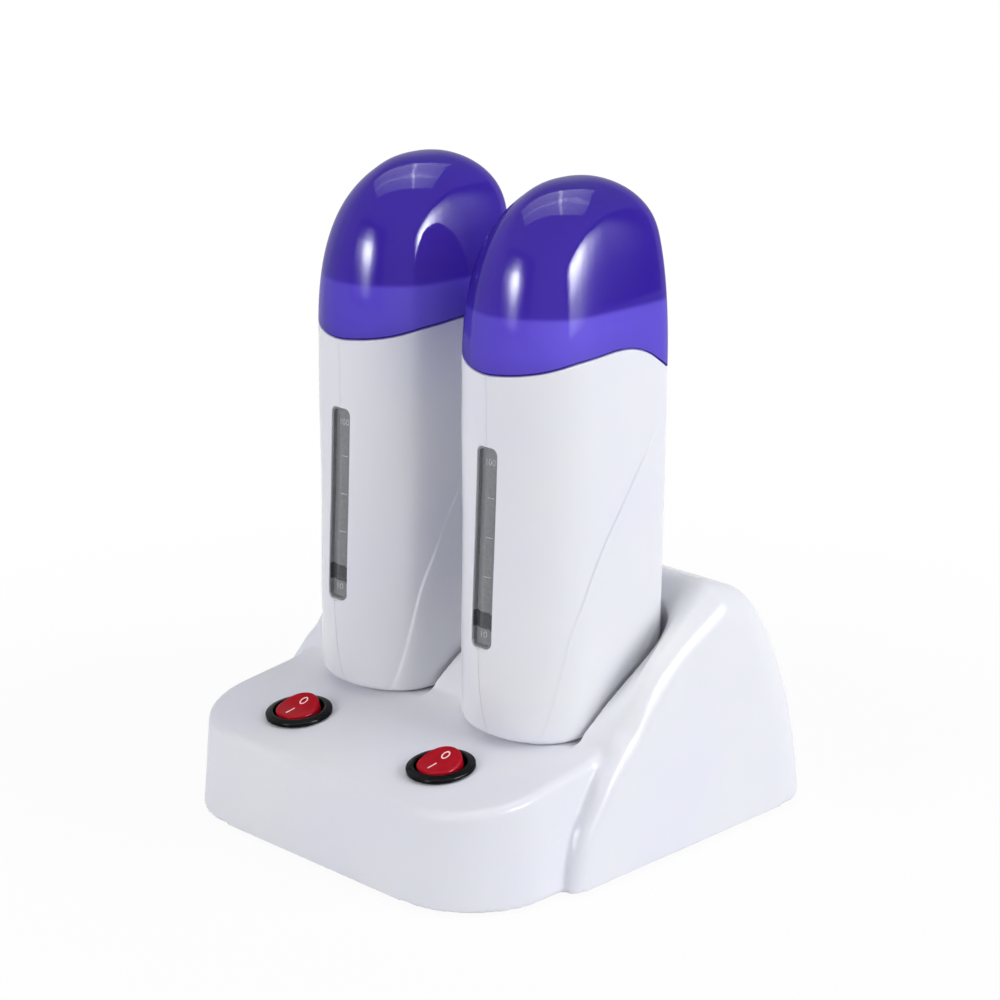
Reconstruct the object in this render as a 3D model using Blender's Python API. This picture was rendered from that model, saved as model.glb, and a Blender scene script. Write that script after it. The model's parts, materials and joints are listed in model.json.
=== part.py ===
# Roll on wax heater: a twin docking base with two rocker switches, and two upright
# cartridge heaters under lift-off caps. Metres, +Z up. Inside the script Y is measured
# from the foot of the base's front wall and Z from the base's bottom rim.
import math

import bpy
import bmesh
from mathutils import Matrix, Vector

for old_object in list(bpy.data.objects):
    bpy.data.objects.remove(old_object, do_unlink=True)

# Fits shared by all pieces
FIT_GAP = 0.0003
CUT_OVERRUN = 0.020
SHARP_ANGLE = math.radians(32.0)

# Heater body, measured from its axis and its bottom face
HEATER_THICKNESS = 0.0500
HEATER_FRONT_REACH = 0.0349
HEATER_REAR_REACH = 0.0313
BODY_HEIGHT = 0.1219
SHELL_WALL = 0.0018
NOSE_LENGTH = 0.0176
REAR_CORNER = 0.0060
BOTTOM_EDGE = 0.0030
CREASE_DEPTH = 0.0005
CREASE_WIDTH = 0.0008
SEAM_SWELL = 0.0059

# Cap
CAP_HEIGHT = 0.0575
CAP_APEX_SETBACK = 0.0105
CAP_SHOULDER_HEIGHT = 0.0060
CAP_REAR_CROWN = 0.0189
CAP_WALL = 0.0016

# Level window in the body's front
WINDOW_WIDTH = 0.0088
WINDOW_BOTTOM = 0.0320
WINDOW_TOP_SETBACK = 0.0235
WINDOW_CORNER = 0.0028
WINDOW_RECESS = 0.0005
WINDOW_LIP = 0.0014
WINDOW_LIP_THICKNESS = 0.0009
WINDOW_LIP_SETBACK = 0.0023

# Heating well for the cartridge, and the collar that holds it and seats the cap
WELL_SIDE_AIR = 0.0056
WELL_NOSE_AIR = 0.0012
WELL_WALL = 0.0010
WELL_BOTTOM_HEIGHT = 0.0215
WELL_POWER_share = 2.4
WELL_SLOT_WIDTH = 0.0060
COLLAR_TOP_ABOVE_SEAM = 0.0186
COLLAR_SKIRT = 0.0125
COLLAR_WALL = 0.0012
COLLAR_PLATE = 0.0020
COLLAR_LIP = 0.0065
COLLAR_LIP_WALL = 0.0015
COLLAR_EDGE = 0.0008

# Heating element, thermostat and socket inside the heater
ELEMENT_LENGTH = 0.0560
ELEMENT_WIDTH = 0.0160
ELEMENT_THICKNESS = 0.0026
ELEMENT_TOP_AIR = 0.0034
CLIP_THICKNESS = 0.0005
CLIP_WIDTH = 0.0120
CLIP_BEND = 0.0010
THERMOSTAT_RADIUS = 0.0080
THERMOSTAT_HEIGHT = 0.0058
THERMOSTAT_RIM = 0.0012
THERMOSTAT_SETBACK = 0.0125
THERMOSTAT_TAB_LENGTH = 0.0035
THERMOSTAT_TAB_WIDTH = 0.0040
THERMOSTAT_TAB_THICKNESS = 0.0008
SOCKET_LENGTH = 0.0240
SOCKET_WIDTH = 0.0110
SOCKET_FLANGE = 0.0020
SOCKET_HEIGHT = 0.0110
PIN_RADIUS = 0.0020
PIN_SPACING = 0.0120
PIN_REACH = 0.0075
PIN_ROOT = 0.0100

# Docking base
RIB_WIDTH = 0.0174
CRADLE_CLEARANCE = 0.0008
SHOULDER_WIDTH = 0.0197
HEATER_SETBACK = 0.0431
REAR_DEPTH = 0.0591
HUMP_HEIGHT = 0.0842
FLANK_STEP = 0.0049
BASE_WALL = 0.0026
BASE_DRAFT = 0.0030
DECK_FRONT_HEIGHT = 0.03177
DECK_TILT = math.radians(7.0)
DECK_EDGE = 0.0060
DECK_DRAFT = 0.0026
DECK_CORNER = 0.0320
SHOULDER_RISE = 0.0210
SHOULDER_CREST = 0.0050
HUMP_REAR_CORNER = 0.0240

# Plate, feet and screws under the base
PLATE_RAISE = 0.0004
PLATE_THICKNESS = 0.0030
FOOT_STAND = 0.0015
FOOT_RADIUS = 0.0065
FOOT_EDGE = 0.0004
FOOT_FRONT_INSET = 0.0340
FOOT_FRONT_SETBACK = 0.0150
FOOT_REAR_INSET = 0.0200
FOOT_REAR_SETBACK = 0.0164
BOSS_RADIUS = 0.0042
SCREW_FRONT_X = 0.0610
SCREW_FRONT_Y = 0.0300
SCREW_REAR_X = 0.0660
SCREW_REAR_Y = 0.1250
SCREW_RADIUS = 0.0015
SCREW_LENGTH = 0.0120
SCREW_HEAD_RADIUS = 0.0032
SCREW_HEAD_HEIGHT = 0.0012
SCREW_RECESS_DEPTH = 0.0018
SCREW_SLOT_WIDTH = 0.0008
SCREW_SLOT_DEPTH = 0.0005

# Rocker switches
SWITCH_SETBACK = 0.0263
BEZEL_RADIUS = 0.0115
BEZEL_HEIGHT = 0.0018
BEZEL_EDGE = 0.0009
BARREL_RADIUS = 0.0099
BARREL_LENGTH = 0.0150
TAB_WIDTH = 0.0048
TAB_LENGTH = 0.0070
TAB_THICKNESS = 0.0008
TAB_SPACING = 0.0100
ROCKER_WIDTH = 0.0136
ROCKER_HALF_LENGTH = 0.0084
ROCKER_WAIST = 0.0024
ROCKER_PIVOT_DEPTH = 0.0020
ROCKER_BELLY = 0.0045
ROCKER_TILT = math.radians(10.0)
ROCKER_END_ANGLE = math.radians(22.0)
ROCKER_CORNER = 0.0052
ROCKER_PIN_RADIUS = 0.0011
ROCKER_PIN_LENGTH = 0.0009
ROCKER_RUNNING_GAP = 0.0004

# Docks, terminal block and cord gland in the base
DOCK_LENGTH = 0.0260
DOCK_WIDTH = 0.0120
DOCK_DEPTH = 0.0110
DOCK_FLANGE = 0.0025
DOCK_FLANGE_THICKNESS = 0.0025
TERMINAL_LENGTH = 0.0340
TERMINAL_WIDTH = 0.0180
TERMINAL_HEIGHT = 0.0150
TERMINAL_SETBACK = 0.1330
TERMINAL_CHAMBER = 0.0018
TERMINAL_COUNT = 3
GLAND_HEIGHT = 0.0140
GLAND_RADIUS = 0.0060
GLAND_BORE = 0.0040
GLAND_FLANGE_RADIUS = 0.0085
GLAND_FLANGE = 0.0016
GLAND_NUT = 0.0040

# Heater front edge seen from the side: share of the body height, share of the front reach
front_line_shares = (
    (0.000, 0.860), (0.033, 0.902), (0.078, 0.942), (0.130, 0.974), (0.180, 0.989),
    (0.250, 1.000), (0.400, 0.980), (0.600, 0.933), (0.800, 0.892), (0.930, 0.890),
    (1.000, 0.900), (1.060, 0.900),
)
# Roundness of the nose in plan against the body height: two is an ellipse
nose_power_shares = (
    (0.000, 2.15), (0.030, 1.95), (0.086, 1.65), (0.127, 1.52), (0.168, 1.43),
    (0.250, 1.37), (0.414, 1.38), (0.578, 1.50), (0.742, 1.72), (0.824, 1.80),
    (0.906, 1.78), (1.000, 1.70), (1.060, 1.70),
)
# Half thickness and rear reach against the body height
side_line_shares = ((0.000, 0.970), (0.250, 0.984), (0.600, 0.994), (1.060, 1.000))
rear_line_shares = ((0.000, 0.955), (0.400, 0.978), (0.800, 0.995), (1.060, 1.000))
# Curved crease on each wide side: share of the body height, share of the depth from the front
crease_shares = (
    (0.000, 0.138), (0.068, 0.169), (0.153, 0.203), (0.245, 0.240), (0.301, 0.268),
    (0.342, 0.299), (0.381, 0.336), (0.465, 0.413), (0.547, 0.505), (0.613, 0.595),
    (0.690, 0.696), (0.775, 0.816), (0.830, 0.890), (1.060, 0.960),
)
CREASE_FADE_share = 0.740
CREASE_END_share = 0.830
# Wavy seam under the cap: share of the depth from the front, share of the seam's swell
seam_shares = (
    (0.00, 0.00), (0.10, 0.30), (0.24, 0.74), (0.40, 0.90), (0.57, 1.00),
    (0.68, 0.88), (0.79, 0.46), (0.87, -0.07), (0.93, -0.50), (1.00, -0.85),
)
CAP_SIDE_POWER_share = 2.54
CAP_FRONT_POWER_share = 2.68
CAP_REAR_POWER_share = 2.40
# Levels of the body's rings above the rounded bottom edge
body_level_shares = (0.06, 0.11, 0.17, 0.25, 0.34, 0.44, 0.54, 0.64, 0.74, 0.83, 0.91)
FRONT_STEPS = 9
FLANK_STEPS = 5
CORNER_STEPS = 4
EDGE_STEPS = 3
DOME_STEPS = 9
BLEND_STEPS = 3
CLIP_STEPS = 3

# Hump from the side: share of the base depth, share of the hump height, how much further
# forward it stands at the flanks, and the rounding of its ends as a share of the rear corner
hump_shares = (
    (0.242, 0.000, 0.000, 0.21), (0.255, 0.110, 0.000, 0.21), (0.277, 0.226, 0.000, 0.21),
    (0.312, 0.323, 0.000, 0.22), (0.342, 0.406, 0.000, 0.24), (0.369, 0.470, 0.000, 0.27),
    (0.391, 0.518, 0.002, 0.30), (0.418, 0.556, 0.006, 0.32), (0.451, 0.600, 0.023, 0.33),
    (0.496, 0.651, 0.050, 0.34), (0.542, 0.700, 0.076, 0.36), (0.588, 0.752, 0.098, 0.38),
    (0.614, 0.788, 0.104, 0.40), (0.638, 0.846, 0.090, 0.43), (0.656, 0.915, 0.046, 0.47),
    (0.671, 0.968, 0.012, 0.51), (0.692, 1.000, 0.000, 0.54), (0.724, 0.990, 0.000, 0.54),
    (0.760, 0.962, 0.000, 0.54), (0.796, 0.926, 0.000, 0.58), (0.837, 0.853, 0.000, 0.66),
    (0.873, 0.766, 0.000, 0.74), (0.911, 0.647, 0.000, 0.84), (0.941, 0.546, 0.000, 0.94),
    (0.962, 0.451, 0.000, 1.00), (0.977, 0.333, 0.000, 1.00), (0.988, 0.214, 0.000, 1.00),
    (0.996, 0.095, 0.000, 1.00), (1.000, 0.000, 0.000, 1.00),
)
HUMP_REAR_POINTS = 10
# Rise of the deck into the hump: share of the base depth, share of the hump height
deck_rise_shares = (
    (0.315, 0.455), (0.340, 0.464), (0.364, 0.479), (0.390, 0.500), (0.420, 0.518),
    (0.452, 0.530),
)
STATION_STEPS = 7
ARC_STEPS = 5
ROUND_STEPS = 32

# Sizes worked out from those above
HALF_THICKNESS = HEATER_THICKNESS / 2
HEATER_PITCH = HEATER_THICKNESS + 2 * CRADLE_CLEARANCE + RIB_WIDTH
HEATER_AXIS_Y = HEATER_SETBACK + HEATER_FRONT_REACH
BASE_DEPTH = HEATER_AXIS_Y + HEATER_REAR_REACH + REAR_DEPTH
BASE_HALF_WIDTH = HEATER_PITCH / 2 + HALF_THICKNESS + CRADLE_CLEARANCE + SHOULDER_WIDTH
DECK_HALF_WIDTH = BASE_HALF_WIDTH - FLANK_STEP
APEX_HEIGHT = BODY_HEIGHT + CAP_HEIGHT
COLLAR_TOP = BODY_HEIGHT + COLLAR_TOP_ABOVE_SEAM
WELL_HALF_X = HALF_THICKNESS - SHELL_WALL - WELL_SIDE_AIR
WELL_INSET = SHELL_WALL + FIT_GAP + COLLAR_WALL + 3 * FIT_GAP
WELL_FRONT = HEATER_FRONT_REACH * front_line_shares[-1][1] - WELL_INSET - WELL_NOSE_AIR
WELL_REAR = HEATER_REAR_REACH - WELL_INSET
WELL_CENTRE_Y = (WELL_REAR - WELL_FRONT) / 2
WELL_HALF_Y = (WELL_REAR + WELL_FRONT) / 2
WINDOW_HEIGHT = BODY_HEIGHT - WINDOW_BOTTOM - WINDOW_TOP_SETBACK
ELEMENT_BOTTOM = BODY_HEIGHT - COLLAR_SKIRT - ELEMENT_TOP_AIR - ELEMENT_LENGTH


def deck_height(y):
    """Height of the sloping deck at a distance from the front wall."""
    return DECK_FRONT_HEIGHT + y * math.tan(DECK_TILT)


CRADLE_FLOOR = deck_height(HEATER_SETBACK + NOSE_LENGTH)
HEATER_BOTTOM = CRADLE_FLOOR + FIT_GAP

# The whole model stands on its feet, centred on its outline
stand = bpy.data.objects.new("stand_origin", None)
bpy.context.collection.objects.link(stand)
stand.location = (0, 0, FOOT_STAND)


def material(name, colour, roughness, metallic=0.0, alpha=1.0):
    """A plain Principled material for one kind of part."""
    made = bpy.data.materials.new(name)
    made.use_nodes = True
    shader = made.node_tree.nodes["Principled BSDF"]
    shader.inputs["Base Color"].default_value = (*colour, 1.0)
    shader.inputs["Roughness"].default_value = roughness
    shader.inputs["Metallic"].default_value = metallic
    shader.inputs["Alpha"].default_value = alpha
    return made


white_abs = material("white_abs", (0.82, 0.83, 0.85), 0.22)
white_inner = material("white_inner_plastic", (0.85, 0.85, 0.86), 0.40)
violet_clear = material("violet_clear_plastic", (0.06, 0.03, 0.42), 0.08, alpha=0.8)
clear_window = material("clear_window", (0.55, 0.57, 0.58), 0.15, alpha=0.6)
black_plastic = material("black_plastic", (0.015, 0.015, 0.015), 0.28)
red_plastic = material("red_plastic", (0.60, 0.01, 0.02), 0.25)
drawn_aluminium = material("drawn_aluminium", (0.75, 0.76, 0.77), 0.35, 1.0)
element_case = material("element_case", (0.60, 0.45, 0.20), 0.45)
spring_steel = material("spring_steel", (0.55, 0.55, 0.56), 0.30, 1.0)
brass = material("brass", (0.72, 0.52, 0.20), 0.28, 1.0)
zinc_steel = material("zinc_steel", (0.62, 0.63, 0.65), 0.35, 1.0)
grey_rubber = material("grey_rubber", (0.12, 0.12, 0.13), 0.75)
terminal_plastic = material("terminal_plastic", (0.78, 0.77, 0.72), 0.45)


def smooth_value(shares, at):
    """Value of a smooth curve through a table of (place, value) pairs."""
    if at <= shares[0][0]:
        return shares[0][1]
    if at >= shares[-1][0]:
        return shares[-1][1]
    last = len(shares) - 1
    k = max(i for i in range(last) if shares[i][0] <= at)
    slopes = []
    for i in (k, k + 1):
        low, high = max(i - 1, 0), min(i + 1, last)
        slopes.append((shares[high][1] - shares[low][1]) / (shares[high][0] - shares[low][0]))
    span = shares[k + 1][0] - shares[k][0]
    t = (at - shares[k][0]) / span
    start = (2 * t**3 - 3 * t**2 + 1) * shares[k][1] + (t**3 - 2 * t**2 + t) * span * slopes[0]
    end = (3 * t**2 - 2 * t**3) * shares[k + 1][1] + (t**3 - t**2) * span * slopes[1]
    return start + end


def new_object(name, mesh, finish, parent=None):
    """Link a mesh as a named object under a parent."""
    made = bpy.data.objects.new(name, mesh)
    bpy.context.collection.objects.link(made)
    if finish and not mesh.materials:
        mesh.materials.append(finish)
    made.parent = parent
    return made


def mesh_from(name, points, faces):
    """A closed mesh from points and faces, with its faces turned outwards."""
    mesh = bpy.data.meshes.new(name)
    mesh.from_pydata([tuple(point) for point in points], [], faces)
    shape = bmesh.new()
    shape.from_mesh(mesh)
    bmesh.ops.remove_doubles(shape, verts=shape.verts, dist=FIT_GAP / 100)
    bmesh.ops.recalc_face_normals(shape, faces=shape.faces)
    if shape.calc_volume(signed=True) < 0:
        bmesh.ops.reverse_faces(shape, faces=shape.faces)
    shape.to_mesh(mesh)
    shape.free()
    return mesh


def boolean(mesh, operation, cutters):
    """The mesh joined with, cut by or kept inside each of the cutter meshes."""
    for cutter in cutters:
        body = new_object("boolean_body", mesh, None)
        tool = new_object("boolean_tool", cutter, None)
        step = body.modifiers.new(operation.lower(), "BOOLEAN")
        step.operation = operation
        step.solver = "EXACT"
        step.object = tool
        graph = bpy.context.evaluated_depsgraph_get()
        graph.update()
        mesh = bpy.data.meshes.new_from_object(body.evaluated_get(graph))
        bpy.data.objects.remove(body)
        bpy.data.objects.remove(tool)
        shape = bmesh.new()
        shape.from_mesh(mesh)
        bmesh.ops.remove_doubles(shape, verts=shape.verts, dist=FIT_GAP / 100)
        bmesh.ops.triangulate(shape, faces=shape.faces)
        shape.to_mesh(mesh)
        shape.free()
    return mesh


def tidy(mesh, angle=SHARP_ANGLE):
    """Shade a mesh smooth with its real edges kept sharp."""
    mesh.shade_smooth()
    mesh.set_sharp_from_angle(angle=angle)
    return mesh


def loft(name, rings, closed_loop=False):
    """Skin equal rings of points, with flat ends or as a closed loop of rings."""
    count = len(rings[0])
    points = [point for ring in rings for point in ring]
    faces = []
    pairs = len(rings) if closed_loop else len(rings) - 1
    for k in range(pairs):
        low, high = k * count, (k + 1) % len(rings) * count
        for i in range(count):
            j = (i + 1) % count
            faces.append((low + i, low + j, high + j, high + i))
    if not closed_loop:
        faces.append(tuple(reversed(range(count))))
        faces.append(tuple(range(len(points) - count, len(points))))
    return mesh_from(name, points, faces)


def block(name, low, high):
    """A plain box between two corners."""
    ring = [(low[0], low[1]), (high[0], low[1]), (high[0], high[1]), (low[0], high[1])]
    return loft(name, [[(x, y, z) for x, y in ring] for z in (low[2], high[2])])


def turned(name, profile, steps=ROUND_STEPS):
    """A round piece on the Z axis from (radius, height) points, bottom to top."""
    rings = []
    for radius, height in profile:
        angles = [2 * math.pi * i / steps for i in range(steps)]
        rings.append([(radius * math.cos(a), radius * math.sin(a), height) for a in angles])
    return loft(name, rings)


def turned_tube(name, profile, steps=ROUND_STEPS):
    """A round piece with a bore, from a closed (radius, height) outline."""
    rings = []
    for radius, height in profile:
        angles = [2 * math.pi * i / steps for i in range(steps)]
        rings.append([(radius * math.cos(a), radius * math.sin(a), height) for a in angles])
    return loft(name, rings, closed_loop=True)


def moved(mesh, place, rotation=None):
    """The mesh turned and then carried to its place."""
    mesh.transform(Matrix.Translation(Vector(place)) @ (rotation or Matrix.Identity(4)))
    return mesh


def mirrored(mesh):
    """A copy of the mesh with left and right exchanged."""
    copy = mesh.copy()
    copy.transform(Matrix.Scale(-1, 4, (1, 0, 0)))
    copy.flip_normals()
    return copy


def heater_section(level, inset=0.0):
    """Sizes of the heater's outline at a height above its bottom, body and cap alike."""
    share = level / BODY_HEIGHT
    side = HALF_THICKNESS * smooth_value(side_line_shares, share) - inset
    front = HEATER_FRONT_REACH * smooth_value(front_line_shares, share) - inset
    rear = HEATER_REAR_REACH * smooth_value(rear_line_shares, share) - inset
    apex = APEX_HEIGHT - inset
    side_start = BODY_HEIGHT - CAP_SHOULDER_HEIGHT
    rear_start = APEX_HEIGHT - CAP_REAR_CROWN

    def crown(start, power):
        rise = min(max((level - start) / (apex - start), 0.0), 1.0)
        return (1 - rise**power) ** (1 / power)

    side *= crown(side_start, CAP_SIDE_POWER_share)
    front_scale = crown(side_start, CAP_FRONT_POWER_share)
    rear_scale = crown(rear_start, CAP_REAR_POWER_share)
    front = (front + CAP_APEX_SETBACK) * front_scale - CAP_APEX_SETBACK
    rear = (rear - CAP_APEX_SETBACK) * rear_scale + CAP_APEX_SETBACK
    roundness = 1 - rear_scale
    nose = NOSE_LENGTH * (1 - roundness) + (front + CAP_APEX_SETBACK) * roundness
    nose = min(nose, (front + rear) / 2)
    power = smooth_value(nose_power_shares, share) * (1 - roundness) + 2 * roundness
    corner = max(REAR_CORNER - inset, FIT_GAP)
    corner_x = corner + (side - corner) * roundness
    corner_y = corner + (rear - CAP_APEX_SETBACK - corner) * roundness
    corner_x = min(corner_x, side)
    corner_y = max(min(corner_y, rear - CAP_APEX_SETBACK), 0.0)
    return side, front, rear, nose, power, corner_x, corner_y


def nose_half_width(section, y):
    """Half width of the outline's front part at a depth."""
    side, front, _, nose, power, _, _ = section
    run = min(max((y + front) / max(nose, FIT_GAP / 100), 0.0), 1.0)
    return side * (1 - (1 - run) ** power) ** (1 / power)


def crease_place(level):
    """Depth of the side crease and how deep it is at a height."""
    share = level / BODY_HEIGHT
    depth = HEATER_FRONT_REACH + HEATER_REAR_REACH
    y = smooth_value(crease_shares, share) * depth - HEATER_FRONT_REACH
    fade = (CREASE_END_share - share) / (CREASE_END_share - CREASE_FADE_share)
    return y, CREASE_DEPTH * min(max(fade, 0.0), 1.0)


def half_outline(level, inset=0.0, creased=False):
    """Half of the heater's outline at a height, from front centre to rear centre."""
    section = heater_section(level, inset)
    side, front, rear, _, _, corner_x, corner_y = section
    corner_start = rear - corner_y
    crease_y, crease_depth = crease_place(level)
    latest = corner_start - CREASE_WIDTH
    earliest = -front + CREASE_WIDTH
    crease_y = max(min(crease_y, latest), min(earliest, latest))
    step = crease_depth if creased else 0.0
    points = []
    for i in range(FRONT_STEPS + 1):
        y = -front + (crease_y + front) * (i / FRONT_STEPS) ** 2
        lowered = step * (i / FRONT_STEPS) ** 4
        points.append((nose_half_width(section, y) - lowered, y))
    for i in range(FLANK_STEPS + 1):
        begin = min(crease_y + CREASE_WIDTH, corner_start)
        y = begin + (corner_start - begin) * (i / FLANK_STEPS) ** 1.5
        points.append((nose_half_width(section, y), y))
    for i in range(1, CORNER_STEPS + 1):
        turn = math.pi / 2 * i / CORNER_STEPS
        x = side - corner_x + corner_x * math.cos(turn)
        points.append((x, corner_start + corner_y * math.sin(turn)))
    points.append((0.0, rear))
    return points


def full_ring(half, heights):
    """Mirror half an outline into a closed ring, with a height for each point."""
    right = [(x, y, z) for (x, y), z in zip(half, heights)]
    left = [(-x, y, z) for x, y, z in reversed(right[1:-1])]
    return right + left


def seam_height(y):
    """Height of the wavy seam between body and cap at a depth."""
    front, rear = HEATER_FRONT_REACH * front_line_shares[-1][1], HEATER_REAR_REACH
    share = (y + front) / (front + rear)
    return BODY_HEIGHT + SEAM_SWELL * smooth_value(seam_shares, share)


def seam_half(inset, raise_by, creased=False):
    """Half outline that lies on the seam, and its heights."""
    flat = half_outline(BODY_HEIGHT, inset, creased)
    heights = [seam_height(y) + raise_by for _, y in flat]
    half = [half_outline(z, inset, creased)[i] for i, z in enumerate(heights)]
    return half, heights


def body_levels():
    """Heights of the body's rings and the extra inset of its rounded bottom edge."""
    levels = []
    for i in range(EDGE_STEPS + 1):
        turn = math.pi / 2 * i / EDGE_STEPS
        levels.append((BOTTOM_EDGE * (1 - math.cos(turn)), BOTTOM_EDGE * (1 - math.sin(turn))))
    levels += [(share * BODY_HEIGHT, 0.0) for share in body_level_shares]
    return levels


def shell_half_solid(name):
    """The right half of the body as a solid, its top on the seam."""
    rings = []
    for level, extra in body_levels():
        half = half_outline(level, extra, creased=True)
        rings.append([(max(x, FIT_GAP / 2), y, level) for x, y in half])
    half, heights = seam_half(0.0, 0.0)
    rings.append([(max(x, FIT_GAP / 2), y, z) for (x, y), z in zip(half, heights)])
    count = len(rings[0])
    points = [point for ring in rings for point in ring]
    faces = []
    for k in range(len(rings) - 1):
        low, high = k * count, (k + 1) * count
        for i in range(count - 1):
            faces.append((low + i, low + i + 1, high + i + 1, high + i))
        if k < len(rings) - 2:
            faces.append((low, high, high + count - 1, low + count - 1))
    faces.append(tuple(reversed(range(count))))
    top = (len(rings) - 1) * count
    middle = len(points)
    for x, y, z in rings[-1][1:-1]:
        points.append((FIT_GAP / 2, y, z))
    for i in range(1, count - 2):
        faces.append((top + i, top + i + 1, middle + i, middle + i - 1))
    faces.append((top, top + 1, middle))
    faces.append((top + count - 2, top + count - 1, middle + count - 3))
    below = top - count
    line = [top] + [middle + i for i in range(count - 2)] + [top + count - 1]
    faces.append(tuple([below] + line + [below + count - 1]))
    return mesh_from(name, points, faces)


def cavity_solid(name):
    """The space inside the body's wall, running past its top."""
    rings = []
    floor = SHELL_WALL
    for share in (0.0,) + body_level_shares:
        level = max(share * BODY_HEIGHT, floor)
        half = half_outline(level, SHELL_WALL)
        rings.append(full_ring(half, [level] * len(half)))
    top = BODY_HEIGHT + CUT_OVERRUN
    half = half_outline(BODY_HEIGHT - CAP_SHOULDER_HEIGHT, SHELL_WALL)
    rings.append(full_ring(half, [top] * len(half)))
    return loft(name, rings)


def curved_plate(name, half_width, bottom, top, corner, front_depth, back_depth, at_level):
    """An upright plate with rounded corners that follows the body's front edge."""
    levels = []
    for i in range(ARC_STEPS + 1):
        turn = math.pi / 2 * i / ARC_STEPS
        levels.append((bottom + corner * (1 - math.cos(turn)), corner * (1 - math.sin(turn))))
    for i in range(1, ARC_STEPS):
        levels.append((bottom + (top - bottom) * i / ARC_STEPS, 0.0))
    for i in range(ARC_STEPS + 1):
        turn = math.pi / 2 * i / ARC_STEPS
        levels.append((top - corner * (1 - math.sin(turn)), corner * (1 - math.cos(turn))))
    rings = []
    for z, narrower in levels:
        x = half_width - narrower
        front = -HEATER_FRONT_REACH * smooth_value(front_line_shares, z / BODY_HEIGHT)
        if not at_level:
            front = -HEATER_FRONT_REACH
        near, far = front + front_depth, front + back_depth
        rings.append([(-x, near, z), (x, near, z), (x, far, z), (-x, far, z)])
    return loft(name, rings)


def oval(half_x, half_y, centre_y, direction):
    """Point of the well's oval in the direction of another point."""
    angle = math.atan2(direction[1] - centre_y, direction[0])
    across, along = abs(math.cos(angle)), abs(math.sin(angle))
    power = WELL_POWER_share
    reach = ((across / half_x) ** power + (along / half_y) ** power) ** (-1 / power)
    return reach * math.cos(angle), centre_y + reach * math.sin(angle)


def oval_ring(grow, height):
    """Ring of the well's oval, its wall's outer face being grown by nothing."""
    half = half_outline(BODY_HEIGHT - CAP_SHOULDER_HEIGHT)
    points = []
    for x, y, _ in full_ring(half, [0.0] * len(half)):
        ring = oval(WELL_HALF_X + grow, WELL_HALF_Y + grow, WELL_CENTRE_Y, (x, y))
        points.append((ring[0], ring[1], height))
    return points


# Heater body: two clamshell halves that meet on the middle plane
cavity = cavity_solid("cavity")
window_top = WINDOW_BOTTOM + WINDOW_HEIGHT
window_hole = curved_plate(
    "window_hole", WINDOW_WIDTH / 2 + FIT_GAP, WINDOW_BOTTOM - FIT_GAP, window_top + FIT_GAP,
    WINDOW_CORNER + FIT_GAP, -CUT_OVERRUN, NOSE_LENGTH / 2, at_level=False)
socket_hole = block(
    "socket_hole",
    (-SOCKET_WIDTH / 2 - FIT_GAP, -SOCKET_LENGTH / 2 - FIT_GAP, -CUT_OVERRUN),
    (SOCKET_WIDTH / 2 + FIT_GAP, SOCKET_LENGTH / 2 + FIT_GAP, SHELL_WALL * 2))
shell_right_mesh = boolean(
    shell_half_solid("shell_half"), "DIFFERENCE", (cavity, window_hole, socket_hole))
tidy(shell_right_mesh)
shell_left_mesh = mirrored(shell_right_mesh)

# Level window: a clear bar in the front slot, held by a wider lip behind the wall
window_mesh = boolean(
    curved_plate("window", WINDOW_WIDTH / 2, WINDOW_BOTTOM, window_top, WINDOW_CORNER,
                 WINDOW_RECESS, SHELL_WALL + WINDOW_LIP_SETBACK + WINDOW_LIP_THICKNESS / 2,
                 at_level=True),
    "UNION",
    (curved_plate("window_lip", WINDOW_WIDTH / 2 + WINDOW_LIP, WINDOW_BOTTOM - WINDOW_LIP,
                  window_top + WINDOW_LIP, WINDOW_CORNER, SHELL_WALL + WINDOW_LIP_SETBACK,
                  SHELL_WALL + WINDOW_LIP_SETBACK + WINDOW_LIP_THICKNESS, at_level=True),))
tidy(window_mesh)


def collar_mesh():
    """White ring that closes the body's mouth, holds the well and seats the cap."""
    bottom = BODY_HEIGHT - COLLAR_SKIRT
    inset = SHELL_WALL + FIT_GAP
    rings = []

    def outline_ring(level, depth):
        half = half_outline(level, depth)
        rings.append(full_ring(half, [level] * len(half)))

    outline_ring(bottom, inset)
    outline_ring(BODY_HEIGHT, inset)
    outline_ring(COLLAR_TOP - COLLAR_EDGE, inset)
    outline_ring(COLLAR_TOP, inset + COLLAR_EDGE)
    lip_bottom = COLLAR_TOP - COLLAR_LIP
    rings.append(oval_ring(-WELL_WALL, COLLAR_TOP))
    rings.append(oval_ring(-WELL_WALL, lip_bottom))
    rings.append(oval_ring(COLLAR_LIP_WALL - WELL_WALL, lip_bottom))
    rings.append(oval_ring(COLLAR_LIP_WALL - WELL_WALL, COLLAR_TOP - COLLAR_PLATE))
    outline_ring(COLLAR_TOP - COLLAR_PLATE, inset + COLLAR_WALL)
    outline_ring(bottom, inset + COLLAR_WALL)
    return loft("collar", rings, closed_loop=True)


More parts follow.
